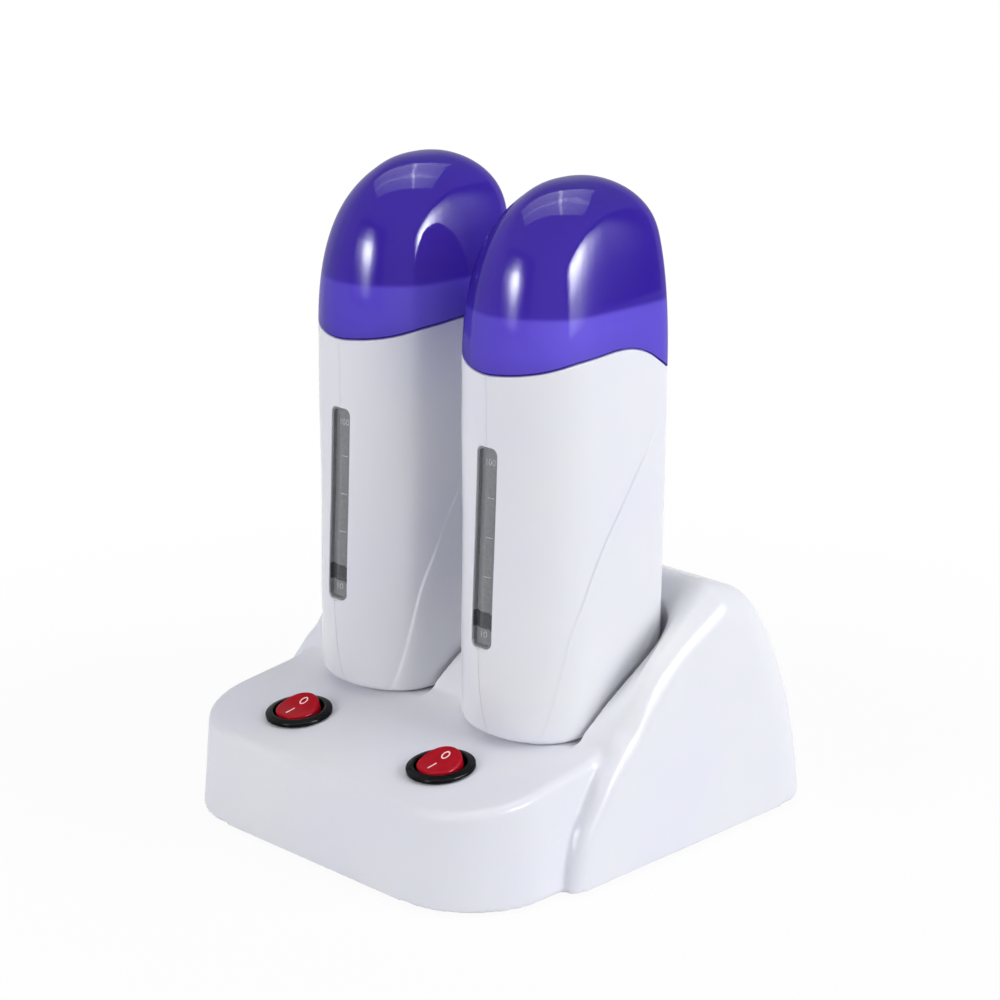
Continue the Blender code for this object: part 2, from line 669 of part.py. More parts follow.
def well_mesh():
    """Oval aluminium cup for the cartridge, slotted behind the window."""
    top = COLLAR_TOP - COLLAR_LIP - FIT_GAP
    bottom = WELL_BOTTOM_HEIGHT
    rings = [
        oval_ring(-2 * WELL_WALL, bottom),
        oval_ring(-WELL_WALL / 2, bottom + WELL_WALL / 2),
        oval_ring(0.0, bottom + 2 * WELL_WALL),
        oval_ring(0.0, top),
        oval_ring(-WELL_WALL, top),
        oval_ring(-WELL_WALL, bottom + 2 * WELL_WALL),
        oval_ring(-2 * WELL_WALL, bottom + WELL_WALL),
    ]
    cup = loft("well", rings)
    slot = block(
        "well_slot",
        (-WELL_SLOT_WIDTH / 2, -HEATER_FRONT_REACH, WINDOW_BOTTOM),
        (WELL_SLOT_WIDTH / 2, WELL_CENTRE_Y - WELL_HALF_Y / 2, window_top))
    return tidy(boolean(cup, "DIFFERENCE", (slot,)))


def cap_mesh():
    """Domed cap with an even wall, open below along the wavy seam."""
    walls = []
    for inset in (0.0, CAP_WALL):
        rings = []
        apex = APEX_HEIGHT - inset
        crown_base = COLLAR_TOP
        half, heights = seam_half(inset, FIT_GAP)
        rings.append(full_ring(half, heights))
        for i in range(1, BLEND_STEPS + 1):
            share = i / BLEND_STEPS
            raised = [z + (crown_base - z) * share for z in heights]
            half = [half_outline(z, inset)[n] for n, z in enumerate(raised)]
            rings.append(full_ring(half, raised))
        for i in range(1, DOME_STEPS):
            rise = math.sin(math.pi / 2 * i / DOME_STEPS)
            level = crown_base + (apex - crown_base) * rise
            half = half_outline(level, inset)
            rings.append(full_ring(half, [level] * len(half)))
        walls.append((rings, (0.0, CAP_APEX_SETBACK, apex)))
    points, faces = [], []
    starts = []
    count = len(walls[0][0][0])
    for rings, pole in walls:
        start = len(points)
        starts.append(start)
        for ring in rings:
            points.extend(ring)
        points.append(pole)
        for k in range(len(rings) - 1):
            low, high = start + k * count, start + (k + 1) * count
            for i in range(count):
                j = (i + 1) % count
                faces.append((low + i, low + j, high + j, high + i))
        last = start + (len(rings) - 1) * count
        for i in range(count):
            faces.append((last + i, last + (i + 1) % count, len(points) - 1))
    for i in range(count):
        j = (i + 1) % count
        faces.append((starts[0] + i, starts[0] + j, starts[1] + j, starts[1] + i))
    return mesh_from("cap", points, faces)


def clip_mesh():
    """Bowed leaf spring that presses the element against the well."""
    inner = WELL_HALF_X + FIT_GAP + ELEMENT_THICKNESS + FIT_GAP
    middle = ELEMENT_BOTTOM + ELEMENT_LENGTH / 2
    rings = []
    for i in range(-CLIP_STEPS, CLIP_STEPS + 1):
        share = i / CLIP_STEPS
        z = middle + share * ELEMENT_LENGTH / 2
        x = inner + CLIP_BEND * share**2
        low, high = WELL_CENTRE_Y - CLIP_WIDTH / 2, WELL_CENTRE_Y + CLIP_WIDTH / 2
        far = x + CLIP_THICKNESS
        rings.append([(x, low, z), (far, low, z), (far, high, z), (x, high, z)])
    return loft("element_clip", rings)


def thermostat_mesh():
    """Disc thermostat under the well, with a rim and two terminal tabs."""
    top = WELL_BOTTOM_HEIGHT - FIT_GAP
    rim = THERMOSTAT_RADIUS + THERMOSTAT_RIM
    low = top - THERMOSTAT_HEIGHT
    disc = turned("thermostat", (
        (THERMOSTAT_RADIUS, low), (THERMOSTAT_RADIUS, top - THERMOSTAT_RIM),
        (rim, top - THERMOSTAT_RIM), (rim, top)), steps=ROUND_STEPS // 2)
    tabs = []
    for side in (-1, 1):
        x = side * THERMOSTAT_RADIUS / 2
        tabs.append(block(
            "tab",
            (x - THERMOSTAT_TAB_THICKNESS / 2, -THERMOSTAT_TAB_WIDTH / 2,
             low - THERMOSTAT_TAB_LENGTH),
            (x + THERMOSTAT_TAB_THICKNESS / 2, THERMOSTAT_TAB_WIDTH / 2,
             low + THERMOSTAT_TAB_THICKNESS)))
    return tidy(moved(boolean(disc, "UNION", tabs), (0, THERMOSTAT_SETBACK, 0)))


def socket_mesh():
    """Contact block in the heater's bottom, with two bores over the dock pins."""
    neck = block(
        "socket",
        (-SOCKET_WIDTH / 2, -SOCKET_LENGTH / 2, 0.0),
        (SOCKET_WIDTH / 2, SOCKET_LENGTH / 2, SHELL_WALL + SOCKET_FLANGE))
    flange = block(
        "socket_flange",
        (-SOCKET_WIDTH / 2 - SOCKET_FLANGE, -SOCKET_LENGTH / 2 - SOCKET_FLANGE,
         SHELL_WALL + FIT_GAP),
        (SOCKET_WIDTH / 2 + SOCKET_FLANGE, SOCKET_LENGTH / 2 + SOCKET_FLANGE, SOCKET_HEIGHT))
    bores = []
    for side in (-1, 1):
        bore = turned("bore", (
            (PIN_RADIUS + 2 * FIT_GAP, -CUT_OVERRUN),
            (PIN_RADIUS + 2 * FIT_GAP, PIN_REACH + 2 * FIT_GAP)), steps=ROUND_STEPS // 2)
        bores.append(moved(bore, (0, side * PIN_SPACING / 2, 0)))
    return boolean(boolean(neck, "UNION", (flange,)), "DIFFERENCE", bores)


element_low = (WELL_HALF_X + FIT_GAP, WELL_CENTRE_Y - ELEMENT_WIDTH / 2, ELEMENT_BOTTOM)
element_high = (WELL_HALF_X + FIT_GAP + ELEMENT_THICKNESS,
                WELL_CENTRE_Y + ELEMENT_WIDTH / 2, ELEMENT_BOTTOM + ELEMENT_LENGTH)
heater_meshes = (
    ("shell_right_half", shell_right_mesh, white_abs),
    ("shell_left_half", shell_left_mesh, white_abs),
    ("level_window", window_mesh, clear_window),
    ("collar", tidy(collar_mesh()), white_inner),
    ("heating_well", well_mesh(), drawn_aluminium),
    ("ptc_element", block("ptc_element", element_low, element_high), element_case),
    ("element_clip", tidy(clip_mesh()), spring_steel),
    ("thermostat", thermostat_mesh(), zinc_steel),
    ("contact_socket", socket_mesh(), black_plastic),
    ("cap", tidy(cap_mesh()), violet_clear),
)
for side_name, side in (("left", -1), ("right", 1)):
    carrier = bpy.data.objects.new("heater_" + side_name, None)
    bpy.context.collection.objects.link(carrier)
    carrier.parent = stand
    carrier.location = (side * HEATER_PITCH / 2, HEATER_AXIS_Y, HEATER_BOTTOM)
    for part_name, mesh, finish in heater_meshes:
        if side < 0 and part_name in ("ptc_element", "element_clip"):
            mesh = mirrored(mesh)
        new_object("heater_%s_%s" % (side_name, part_name), mesh, finish, carrier)


def offset_profile(profile, distances):
    """An open side profile moved inwards, its end points kept on the floor."""
    moved_points = []
    last = len(profile) - 1
    for i, (y, z) in enumerate(profile):
        before, after = profile[max(i - 1, 0)], profile[min(i + 1, last)]
        along = Vector((after[0] - before[0], after[1] - before[1])).normalized()
        normal = Vector((along[1], -along[0]))
        if i in (0, last):
            normal = Vector((1.0 if i == 0 else -1.0, 0.0))
        moved_points.append((y + normal[0] * distances[i], z + normal[1] * distances[i]))
    return moved_points


def rounded_extrusion(name, profiles, radii, inset, half_width, draft, height):
    """Extrude a side profile across X, changing towards its ends, with rounded ends."""
    biggest = max(radii)
    stations = []
    for i in range(STATION_STEPS + 1):
        turn = math.pi / 2 * i / STATION_STEPS
        stations.append(half_width - biggest * (1 - math.sin(turn)))
    rings = []
    for x in [-s for s in reversed(stations)] + stations:
        outward = (abs(x) - half_width + SHOULDER_RISE) / (SHOULDER_RISE - SHOULDER_CREST)
        outward = min(max(outward, 0.0), 1.0)
        blend = outward * outward * (3 - 2 * outward)
        depths = []
        for radius in radii:
            run = min(max((abs(x) - half_width + radius) / radius, 0.0), 1.0)
            depths.append(inset + radius * (1 - math.sqrt(1 - run * run)))
        profile = []
        for near, far in zip(*profiles):
            profile.append((near[0] + (far[0] - near[0]) * blend,
                            near[1] + (far[1] - near[1]) * blend))
        ring = []
        for y, z in offset_profile(profile, depths):
            ring.append((x * (1 - draft / half_width * z / height), y, z))
        rings.append(ring)
    return loft(name, rings)


def deck_surface(y):
    """Height of the deck and of its rise into the hump."""
    first = deck_rise_shares[0][0] * BASE_DEPTH
    if y <= first:
        return deck_height(y)
    lift = deck_height(first) - deck_rise_shares[0][1] * HUMP_HEIGHT
    return smooth_value(deck_rise_shares, y / BASE_DEPTH) * HUMP_HEIGHT + lift


def deck_outline(inset):
    """Right half of the deck body's plan, from front centre to rear centre."""
    side, rear = DECK_HALF_WIDTH - inset, deck_rise_shares[-1][0] * BASE_DEPTH
    turn_from = DECK_HALF_WIDTH - DECK_CORNER
    points = [(0.0, inset)]
    for i in range(CORNER_STEPS * 2 + 1):
        turn = math.pi / 2 * i / (CORNER_STEPS * 2)
        radius = DECK_CORNER - inset
        points.append((turn_from + radius * math.sin(turn),
                       DECK_CORNER - radius * math.cos(turn)))
    middle = (DECK_CORNER + deck_rise_shares[0][0] * BASE_DEPTH) / 2
    points.append((side, middle))
    points += [(side, share * BASE_DEPTH) for share, _ in deck_rise_shares[:-1]]
    points += [(side, rear), (0.0, rear)]
    return points


def deck_body(inset, below):
    """Low front body: rounded plan, drafted walls and a rounded edge round the deck."""
    edge = DECK_EDGE - inset
    layers = []
    for level in (-below, 0.0):
        slack = DECK_DRAFT * level / DECK_FRONT_HEIGHT
        layers.append([(x, y, level) for x, y in deck_outline(inset + slack)])
    for i in range(ARC_STEPS + 1):
        turn = math.pi / 2 * i / ARC_STEPS
        down, inward = edge * (1 - math.sin(turn)), edge * (1 - math.cos(turn))
        layer = []
        for n, (_, y) in enumerate(deck_outline(inset)):
            z = deck_surface(y) - inset - down
            slack = DECK_DRAFT * z / DECK_FRONT_HEIGHT
            x, y = deck_outline(inset + inward + slack)[n]
            layer.append((x, y, z))
        layers.append(layer)
    rings = []
    for layer in layers:
        rings.append(layer + [(-x, y, z) for x, y, z in reversed(layer[1:-1])])
    count = len(rings[0])
    points = [point for ring in rings for point in ring]
    faces = [tuple(reversed(range(count)))]
    for k in range(len(rings) - 1):
        low, high = k * count, (k + 1) * count
        for i in range(count):
            j = (i + 1) % count
            faces.append((low + i, low + j, high + j, high + i))
    top, half = len(points) - count, len(layers[0])
    for i in range(1, half - 2):
        strip = [top + i, top + i + 1, top + count - i - 1, top + count - i]
        if i == 1:
            strip.append(top)
        if i == half - 3:
            strip.insert(2, top + half - 1)
        faces.append(tuple(strip))
    return mesh_from("deck_body", points, faces)


def hump_body(inset, below):
    """Hump with both flanks: a side profile across X with rounded ends."""
    middle = [(y * BASE_DEPTH, z * HUMP_HEIGHT) for y, z, _, _ in hump_shares]
    flank = [((y - shift) * BASE_DEPTH, z * HUMP_HEIGHT) for y, z, shift, _ in hump_shares]
    radii = [max(share * HUMP_REAR_CORNER - inset, FIT_GAP) for _, _, _, share in hump_shares]
    profiles = []
    for profile in (middle, flank):
        profiles.append([(profile[0][0], -below)] + profile + [(profile[-1][0], -below)])
    radii = [radii[0]] + radii + [radii[-1]]
    return rounded_extrusion(
        "hump_body", profiles, radii, inset, BASE_HALF_WIDTH - inset, BASE_DRAFT, HUMP_HEIGHT)


def base_solid(inset, below):
    """The base's outer form moved inwards and carried below the floor."""
    both = boolean(
        deck_body(inset, below + CUT_OVERRUN), "UNION",
        (hump_body(inset, below + 2 * CUT_OVERRUN),))
    keep = block(
        "above_floor", (-BASE_HALF_WIDTH - CUT_OVERRUN, -CUT_OVERRUN, -below),
        (BASE_HALF_WIDTH + CUT_OVERRUN, BASE_DEPTH + CUT_OVERRUN, HUMP_HEIGHT + CUT_OVERRUN))
    return boolean(both, "INTERSECT", (keep,))


def cradle_prism(name, grow, bottom):
    """Upright pocket that the heater stands in, open towards the front."""
    half = HALF_THICKNESS + CRADLE_CLEARANCE + grow
    front = -HEATER_FRONT_REACH - CRADLE_CLEARANCE - grow
    rear = HEATER_REAR_REACH + CRADLE_CLEARANCE + grow
    corner = REAR_CORNER + CRADLE_CLEARANCE + grow
    outline = [(-half, front), (half, front)]
    for i in range(ARC_STEPS + 1):
        turn = math.pi / 2 * i / ARC_STEPS
        outline.append((half - corner * (1 - math.cos(turn)),
                        rear - corner * (1 - math.sin(turn))))
    for i in range(ARC_STEPS + 1):
        turn = math.pi / 2 * i / ARC_STEPS
        outline.append((-half + corner * (1 - math.sin(turn)),
                        rear - corner * (1 - math.cos(turn))))
    top = HUMP_HEIGHT + CUT_OVERRUN
    return loft(name, [[(x, y, z) for x, y in outline] for z in (bottom, top)])


deck_turn = Matrix.Rotation(DECK_TILT, 4, "X")
cradles, walled_cradles, switch_holes, dock_holes = [], [], [], []
for side in (-1, 1):
    heater_x = side * HEATER_PITCH / 2
    cradles.append(moved(
        cradle_prism("cradle", 0.0, CRADLE_FLOOR), (heater_x, HEATER_AXIS_Y, 0)))
    walled_cradles.append(moved(
        cradle_prism("cradle_wall", BASE_WALL, CRADLE_FLOOR - BASE_WALL),
        (heater_x, HEATER_AXIS_Y, 0)))
    hole = turned("switch_hole", (
        (BARREL_RADIUS + FIT_GAP, -CUT_OVERRUN), (BARREL_RADIUS + FIT_GAP, CUT_OVERRUN)))
    switch_holes.append(moved(
        hole, (heater_x, SWITCH_SETBACK, deck_height(SWITCH_SETBACK)), deck_turn))
    dock_holes.append(moved(block(
        "dock_hole",
        (-DOCK_WIDTH / 2 - FIT_GAP, -DOCK_LENGTH / 2 - FIT_GAP, CRADLE_FLOOR - 2 * BASE_WALL),
        (DOCK_WIDTH / 2 + FIT_GAP, DOCK_LENGTH / 2 + FIT_GAP, CRADLE_FLOOR + BASE_WALL)),
        (heater_x, HEATER_AXIS_Y, 0)))

screw_places = [(side * x, y) for side in (-1, 1) for x, y in (
    (SCREW_FRONT_X, SCREW_FRONT_Y), (SCREW_REAR_X, SCREW_REAR_Y))]
foot_places = [(side * (BASE_HALF_WIDTH - inset), y) for side in (-1, 1) for inset, y in (
    (FOOT_FRONT_INSET, FOOT_FRONT_SETBACK),
    (FOOT_REAR_INSET, BASE_DEPTH - FOOT_REAR_SETBACK))]
plate_top = PLATE_RAISE + PLATE_THICKNESS
bosses, pilots, screw_cuts = [], [], []
for x, y in screw_places:
    bosses.append(moved(turned("boss", (
        (BOSS_RADIUS, plate_top + FIT_GAP), (BOSS_RADIUS, HUMP_HEIGHT)),
        steps=ROUND_STEPS // 2), (x, y, 0)))
    seat = PLATE_RAISE + SCREW_RECESS_DEPTH
    pilots.append(moved(turned("pilot", (
        (SCREW_RADIUS + FIT_GAP, 0.0),
        (SCREW_RADIUS + FIT_GAP, seat + SCREW_LENGTH + FIT_GAP)),
        steps=ROUND_STEPS // 2), (x, y, 0)))
    screw_cuts.append(moved(turned("screw_cut", (
        (SCREW_HEAD_RADIUS + FIT_GAP, -CUT_OVERRUN), (SCREW_HEAD_RADIUS + FIT_GAP, seat),
        (SCREW_RADIUS + FIT_GAP, seat), (SCREW_RADIUS + FIT_GAP, CUT_OVERRUN)),
        steps=ROUND_STEPS // 2), (x, y, 0)))

# Base shell: low front body with the sloping deck, and the hump with its two cradles
outer = boolean(base_solid(0.0, 0.0), "DIFFERENCE", cradles)
void = boolean(base_solid(BASE_WALL, CUT_OVERRUN), "DIFFERENCE", walled_cradles + bosses)
rear_wall = [(y * BASE_DEPTH, z * HUMP_HEIGHT) for y, z, _, _ in reversed(hump_shares)]
wall_step = max(i for i, (_, z) in enumerate(rear_wall[:HUMP_REAR_POINTS]) if z < GLAND_HEIGHT)
low_point, high_point = rear_wall[wall_step], rear_wall[wall_step + 1]
wall_run = (low_point[0] - high_point[0]) / (high_point[1] - low_point[1])
gland_place = (0, low_point[0] - (GLAND_HEIGHT - low_point[1]) * wall_run, GLAND_HEIGHT)
gland_turn = Matrix.Rotation(math.atan(wall_run) - math.pi / 2, 4, "X")
gland_hole = moved(turned("gland_hole", (
    (GLAND_RADIUS + FIT_GAP, -CUT_OVERRUN), (GLAND_RADIUS + FIT_GAP, CUT_OVERRUN)),
    steps=ROUND_STEPS // 2), gland_place, gland_turn)
base_mesh = boolean(outer, "DIFFERENCE", [void] + switch_holes + dock_holes + [gland_hole])
base_mesh = boolean(base_mesh, "DIFFERENCE", pilots)
new_object("base_shell", tidy(base_mesh), white_abs, stand)

# Base plate: closes the shell's underside inside its rim
plate_form = base_solid(BASE_WALL + FIT_GAP, CUT_OVERRUN)
plate_slab = block(
    "plate_slab", (-BASE_HALF_WIDTH, -BASE_WALL, PLATE_RAISE),
    (BASE_HALF_WIDTH, BASE_DEPTH, plate_top))
plate_mesh = boolean(plate_slab, "INTERSECT", (plate_form,))
plate_mesh = boolean(plate_mesh, "DIFFERENCE", screw_cuts)
new_object("base_plate", tidy(plate_mesh), white_inner, stand)

# Rubber feet under the plate
foot_mesh = tidy(turned("foot", (
    (FOOT_RADIUS - FOOT_EDGE, -FOOT_STAND), (FOOT_RADIUS, -FOOT_STAND + FOOT_EDGE),
    (FOOT_RADIUS, PLATE_RAISE - FIT_GAP))))
for index, (x, y) in enumerate(foot_places):
    foot = new_object("foot_%d" % (index + 1), foot_mesh, grey_rubber, stand)
    foot.location = (x, y, 0)

# Screws from below into the shell's bosses
screw_top = SCREW_RECESS_DEPTH - FIT_GAP
screw_blank = turned("screw", (
    (SCREW_HEAD_RADIUS, screw_top - SCREW_HEAD_HEIGHT), (SCREW_HEAD_RADIUS, screw_top),
    (SCREW_RADIUS, screw_top), (SCREW_RADIUS, SCREW_LENGTH)), steps=ROUND_STEPS // 2)
slots = [
    block("slot", (-SCREW_HEAD_RADIUS / 2, -SCREW_SLOT_WIDTH / 2, -CUT_OVERRUN),
          (SCREW_HEAD_RADIUS / 2, SCREW_SLOT_WIDTH / 2,
           screw_top - SCREW_HEAD_HEIGHT + SCREW_SLOT_DEPTH)),
    block("slot", (-SCREW_SLOT_WIDTH / 2, -SCREW_HEAD_RADIUS / 2, -CUT_OVERRUN),
          (SCREW_SLOT_WIDTH / 2, SCREW_HEAD_RADIUS / 2,
           screw_top - SCREW_HEAD_HEIGHT + SCREW_SLOT_DEPTH)),
]
screw_mesh = tidy(boolean(screw_blank, "DIFFERENCE", slots))
for index, (x, y) in enumerate(screw_places):
    screw = new_object("base_screw_%d" % (index + 1), screw_mesh, zinc_steel, stand)
    screw.location = (x, y, PLATE_RAISE)


# Rocker switches: round bezel and barrel, and the rocker on its pivot pins
def rocker_outline():
    """Side outline of the rocker about its pivot, centred between its two positions."""
    rise = ROCKER_WAIST + ROCKER_HALF_LENGTH * math.tan(ROCKER_TILT)
    reach = math.hypot(ROCKER_HALF_LENGTH, rise)
    start = math.atan2(rise, ROCKER_HALF_LENGTH)
    end = -ROCKER_END_ANGLE
    side = []
    for i in range(ARC_STEPS + 1):
        turn = start + (end - start) * i / ARC_STEPS
        side.append((reach * math.cos(turn), reach * math.sin(turn)))
    right = [(0.0, ROCKER_WAIST)] + side
    left = [(-y, z) for y, z in reversed(side)]
    return right + [(0.0, -ROCKER_BELLY)] + left


def plan_prism(name, half_x, half_y, corner, bottom, top):
    """Upright prism with a rounded plan."""
    outline = []
    for quarter, (sx, sy) in enumerate(((1, 1), (-1, 1), (-1, -1), (1, -1))):
        for i in range(ARC_STEPS + 1):
            turn = math.pi / 2 * (quarter + i / ARC_STEPS)
            outline.append((sx * (half_x - corner) + corner * math.cos(turn),
                            sy * (half_y - corner) + corner * math.sin(turn)))
    return loft(name, [[(x, y, z) for x, y in outline] for z in (bottom, top)])


def rocker_mesh():
    """Rocker in its pressed position: front end down."""
    outline = rocker_outline()
    half = ROCKER_WIDTH / 2
    prism = loft("rocker", [[(x, y, z) for y, z in outline] for x in (-half, half)])
    reach = max(y for y, _ in outline)
    plan = plan_prism(
        "rocker_plan", half, reach, ROCKER_CORNER, -CUT_OVERRUN, CUT_OVERRUN)
    body = boolean(prism, "INTERSECT", (plan,))
    pin = turned("rocker_pin", (
        (ROCKER_PIN_RADIUS, -half - ROCKER_PIN_LENGTH),
        (ROCKER_PIN_RADIUS, half + ROCKER_PIN_LENGTH)), steps=ROUND_STEPS // 2)
    pin = moved(pin, (0, 0, 0), Matrix.Rotation(math.pi / 2, 4, "Y"))
    body = boolean(body, "UNION", (pin,))
    return tidy(moved(body, (0, 0, 0), Matrix.Rotation(ROCKER_TILT, 4, "X")))


def switch_mesh():
    """Switch body: domed bezel on the deck, barrel through it, tabs below."""
    under = FIT_GAP
    top = under + BEZEL_HEIGHT
    body = turned("switch", (
        (BARREL_RADIUS - BEZEL_EDGE, under - BARREL_LENGTH),
        (BARREL_RADIUS, under - BARREL_LENGTH + BEZEL_EDGE),
        (BARREL_RADIUS, under), (BEZEL_RADIUS, under),
        (BEZEL_RADIUS, top - BEZEL_EDGE), (BEZEL_RADIUS - BEZEL_EDGE, top)))
    pivot = top - ROCKER_PIVOT_DEPTH
    outline = rocker_outline()
    reach = max(math.hypot(y, z) for y, z in outline)
    pocket = plan_prism(
        "pocket", ROCKER_WIDTH / 2 + ROCKER_RUNNING_GAP, reach + ROCKER_RUNNING_GAP,
        ROCKER_CORNER + ROCKER_RUNNING_GAP, pivot - reach - ROCKER_RUNNING_GAP,
        CUT_OVERRUN)
    socket_length = ROCKER_WIDTH + 2 * ROCKER_PIN_LENGTH + 2 * FIT_GAP
    socket = turned("pivot_socket", (
        (ROCKER_PIN_RADIUS + FIT_GAP, -socket_length / 2),
        (ROCKER_PIN_RADIUS + FIT_GAP, socket_length / 2)), steps=ROUND_STEPS // 2)
    socket = moved(socket, (0, 0, pivot), Matrix.Rotation(math.pi / 2, 4, "Y"))
    body = boolean(body, "DIFFERENCE", (pocket, socket))
    tabs = []
    for side in (-1, 1):
        y = side * TAB_SPACING / 2
        low = under - BARREL_LENGTH
        tabs.append(block(
            "switch_tab", (-TAB_WIDTH / 2, y - TAB_THICKNESS / 2, low - TAB_LENGTH),
            (TAB_WIDTH / 2, y + TAB_THICKNESS / 2, low + TAB_THICKNESS)))
    return tidy(boolean(body, "UNION", tabs))


switch_body_mesh = switch_mesh()
rocker_body_mesh = rocker_mesh()
for side_name, side in (("left", -1), ("right", 1)):
    holder = bpy.data.objects.new("switch_place_" + side_name, None)
    bpy.context.collection.objects.link(holder)
    holder.parent = stand
    holder.location = (side * HEATER_PITCH / 2, SWITCH_SETBACK, deck_height(SWITCH_SETBACK))
    holder.rotation_euler = (DECK_TILT, 0, 0)
    new_object("switch_%s_body" % side_name, switch_body_mesh, black_plastic, holder)
    rocker = new_object("switch_%s_rocker" % side_name, rocker_body_mesh, red_plastic, holder)
    rocker.location = (0, 0, FIT_GAP + BEZEL_HEIGHT - ROCKER_PIVOT_DEPTH)

# Docks: a block under each cradle floor with two brass pins that the heater drops onto
dock_top = CRADLE_FLOOR
dock_neck = block(
    "dock", (-DOCK_WIDTH / 2, -DOCK_LENGTH / 2, -DOCK_DEPTH),
    (DOCK_WIDTH / 2, DOCK_LENGTH / 2, 0.0))
dock_flange = block(
    "dock_flange",
    (-DOCK_WIDTH / 2 - DOCK_FLANGE, -DOCK_LENGTH / 2 - DOCK_FLANGE,
     -BASE_WALL - FIT_GAP - DOCK_FLANGE_THICKNESS),
    (DOCK_WIDTH / 2 + DOCK_FLANGE, DOCK_LENGTH / 2 + DOCK_FLANGE, -BASE_WALL - FIT_GAP))
pin_bores = []
for side in (-1, 1):
    pin_bores.append(moved(turned("pin_bore", (
        (PIN_RADIUS + FIT_GAP, -CUT_OVERRUN), (PIN_RADIUS + FIT_GAP, CUT_OVERRUN)),
        steps=ROUND_STEPS // 2), (0, side * PIN_SPACING / 2, 0)))
dock_mesh = tidy(boolean(boolean(dock_neck, "UNION", (dock_flange,)), "DIFFERENCE", pin_bores))
pin_mesh = tidy(turned("dock_pin", (
    (PIN_RADIUS, -PIN_ROOT), (PIN_RADIUS, PIN_REACH - PIN_RADIUS / 2),
    (PIN_RADIUS / 2, PIN_REACH)), steps=ROUND_STEPS // 2))
for side_name, side in (("left", -1), ("right", 1)):
    place = (side * HEATER_PITCH / 2, HEATER_AXIS_Y, dock_top)
    dock = new_object("dock_%s_block" % side_name, dock_mesh, black_plastic, stand)
    dock.location = place
    for index, step in enumerate((-1, 1)):
        pin = new_object(
            "dock_%s_pin_%d" % (side_name, index + 1), pin_mesh, brass, stand)
        pin.location = (place[0], place[1] + step * PIN_SPACING / 2, dock_top)

# Terminal block on the plate, where the mains lead is joined
chambers = []
for index in range(TERMINAL_COUNT):
    x = (index - (TERMINAL_COUNT - 1) / 2) * TERMINAL_LENGTH / TERMINAL_COUNT
    bore = turned("chamber", (
        (TERMINAL_CHAMBER, -TERMINAL_WIDTH), (TERMINAL_CHAMBER, TERMINAL_WIDTH)),
        steps=ROUND_STEPS // 4)
    chambers.append(moved(
        bore, (x, 0, TERMINAL_HEIGHT / 2), Matrix.Rotation(math.pi / 2, 4, "X")))
terminal_mesh = boolean(
    block("terminal_block", (-TERMINAL_LENGTH / 2, -TERMINAL_WIDTH / 2, 0.0),
          (TERMINAL_LENGTH / 2, TERMINAL_WIDTH / 2, TERMINAL_HEIGHT)),
    "DIFFERENCE", chambers)
terminal = new_object("terminal_block", tidy(terminal_mesh), terminal_plastic, stand)
terminal.location = (0, TERMINAL_SETBACK, plate_top + FIT_GAP)

# Cord gland in the rear wall, with its bore open
gland_mesh = turned_tube("gland", (
    (GLAND_BORE, -BASE_WALL - GLAND_NUT), (GLAND_RADIUS, -BASE_WALL - GLAND_NUT),
    (GLAND_RADIUS, FIT_GAP), (GLAND_FLANGE_RADIUS, FIT_GAP),
    (GLAND_FLANGE_RADIUS - GLAND_FLANGE / 2, FIT_GAP + GLAND_FLANGE),
    (GLAND_BORE, FIT_GAP + GLAND_FLANGE)))
gland = new_object("cord_gland", tidy(gland_mesh), black_plastic, stand)
gland.location = gland_place
gland.rotation_euler = gland_turn.to_euler()

# Centre the whole outline, gland included, on the origin
gland_lean = math.atan(wall_run)
overall_depth = gland_place[1] + (FIT_GAP + GLAND_FLANGE) * math.cos(gland_lean)
overall_depth += (GLAND_FLANGE_RADIUS - GLAND_FLANGE / 2) * math.sin(gland_lean)
stand.location = (0, -max(overall_depth, BASE_DEPTH) / 2, FOOT_STAND)
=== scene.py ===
import json
import math

import bmesh
import bpy
from mathutils import Matrix, Vector


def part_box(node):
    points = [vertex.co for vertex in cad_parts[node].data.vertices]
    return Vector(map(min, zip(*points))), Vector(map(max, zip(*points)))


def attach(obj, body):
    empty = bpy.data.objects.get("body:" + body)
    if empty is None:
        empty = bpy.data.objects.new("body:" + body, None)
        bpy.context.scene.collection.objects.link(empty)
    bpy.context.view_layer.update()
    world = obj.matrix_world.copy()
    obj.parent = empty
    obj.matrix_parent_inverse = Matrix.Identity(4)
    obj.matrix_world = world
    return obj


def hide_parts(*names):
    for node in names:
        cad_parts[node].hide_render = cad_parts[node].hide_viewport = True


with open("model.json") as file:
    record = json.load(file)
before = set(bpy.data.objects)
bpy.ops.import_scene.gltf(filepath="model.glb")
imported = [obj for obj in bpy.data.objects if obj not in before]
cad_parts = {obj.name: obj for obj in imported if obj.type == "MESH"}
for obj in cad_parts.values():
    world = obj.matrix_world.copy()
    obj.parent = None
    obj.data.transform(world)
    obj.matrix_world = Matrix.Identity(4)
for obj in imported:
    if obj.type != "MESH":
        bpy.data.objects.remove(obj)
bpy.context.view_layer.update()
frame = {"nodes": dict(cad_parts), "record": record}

# Heater shells: two thin ABS clamshell halves for each heater, injection moulded in a polished
# mould and joined on the middle plane, which leaves a fine parting line down the nose. A curved
# crease crosses each wide side, and the wavy rim that meets the cap is softly rounded.
MM = 0.001
BODY_HEIGHT = 121.9 * MM
HALF_THICKNESS = 25.0 * MM
FRONT_REACH = 34.9 * MM
REAR_REACH = 31.3 * MM
SHELL_WALL = 1.8 * MM
NOSE_LENGTH = 17.6 * MM
REAR_CORNER = 6.0 * MM
BOTTOM_EDGE = 3.0 * MM
RIM_EDGE = 0.45 * MM
PARTING_HALF_GAP = 0.04 * MM
PARTING_DEPTH = 0.22 * MM
CAD_HALF_GAP = 0.15 * MM
CREASE_DEPTH = 0.5 * MM
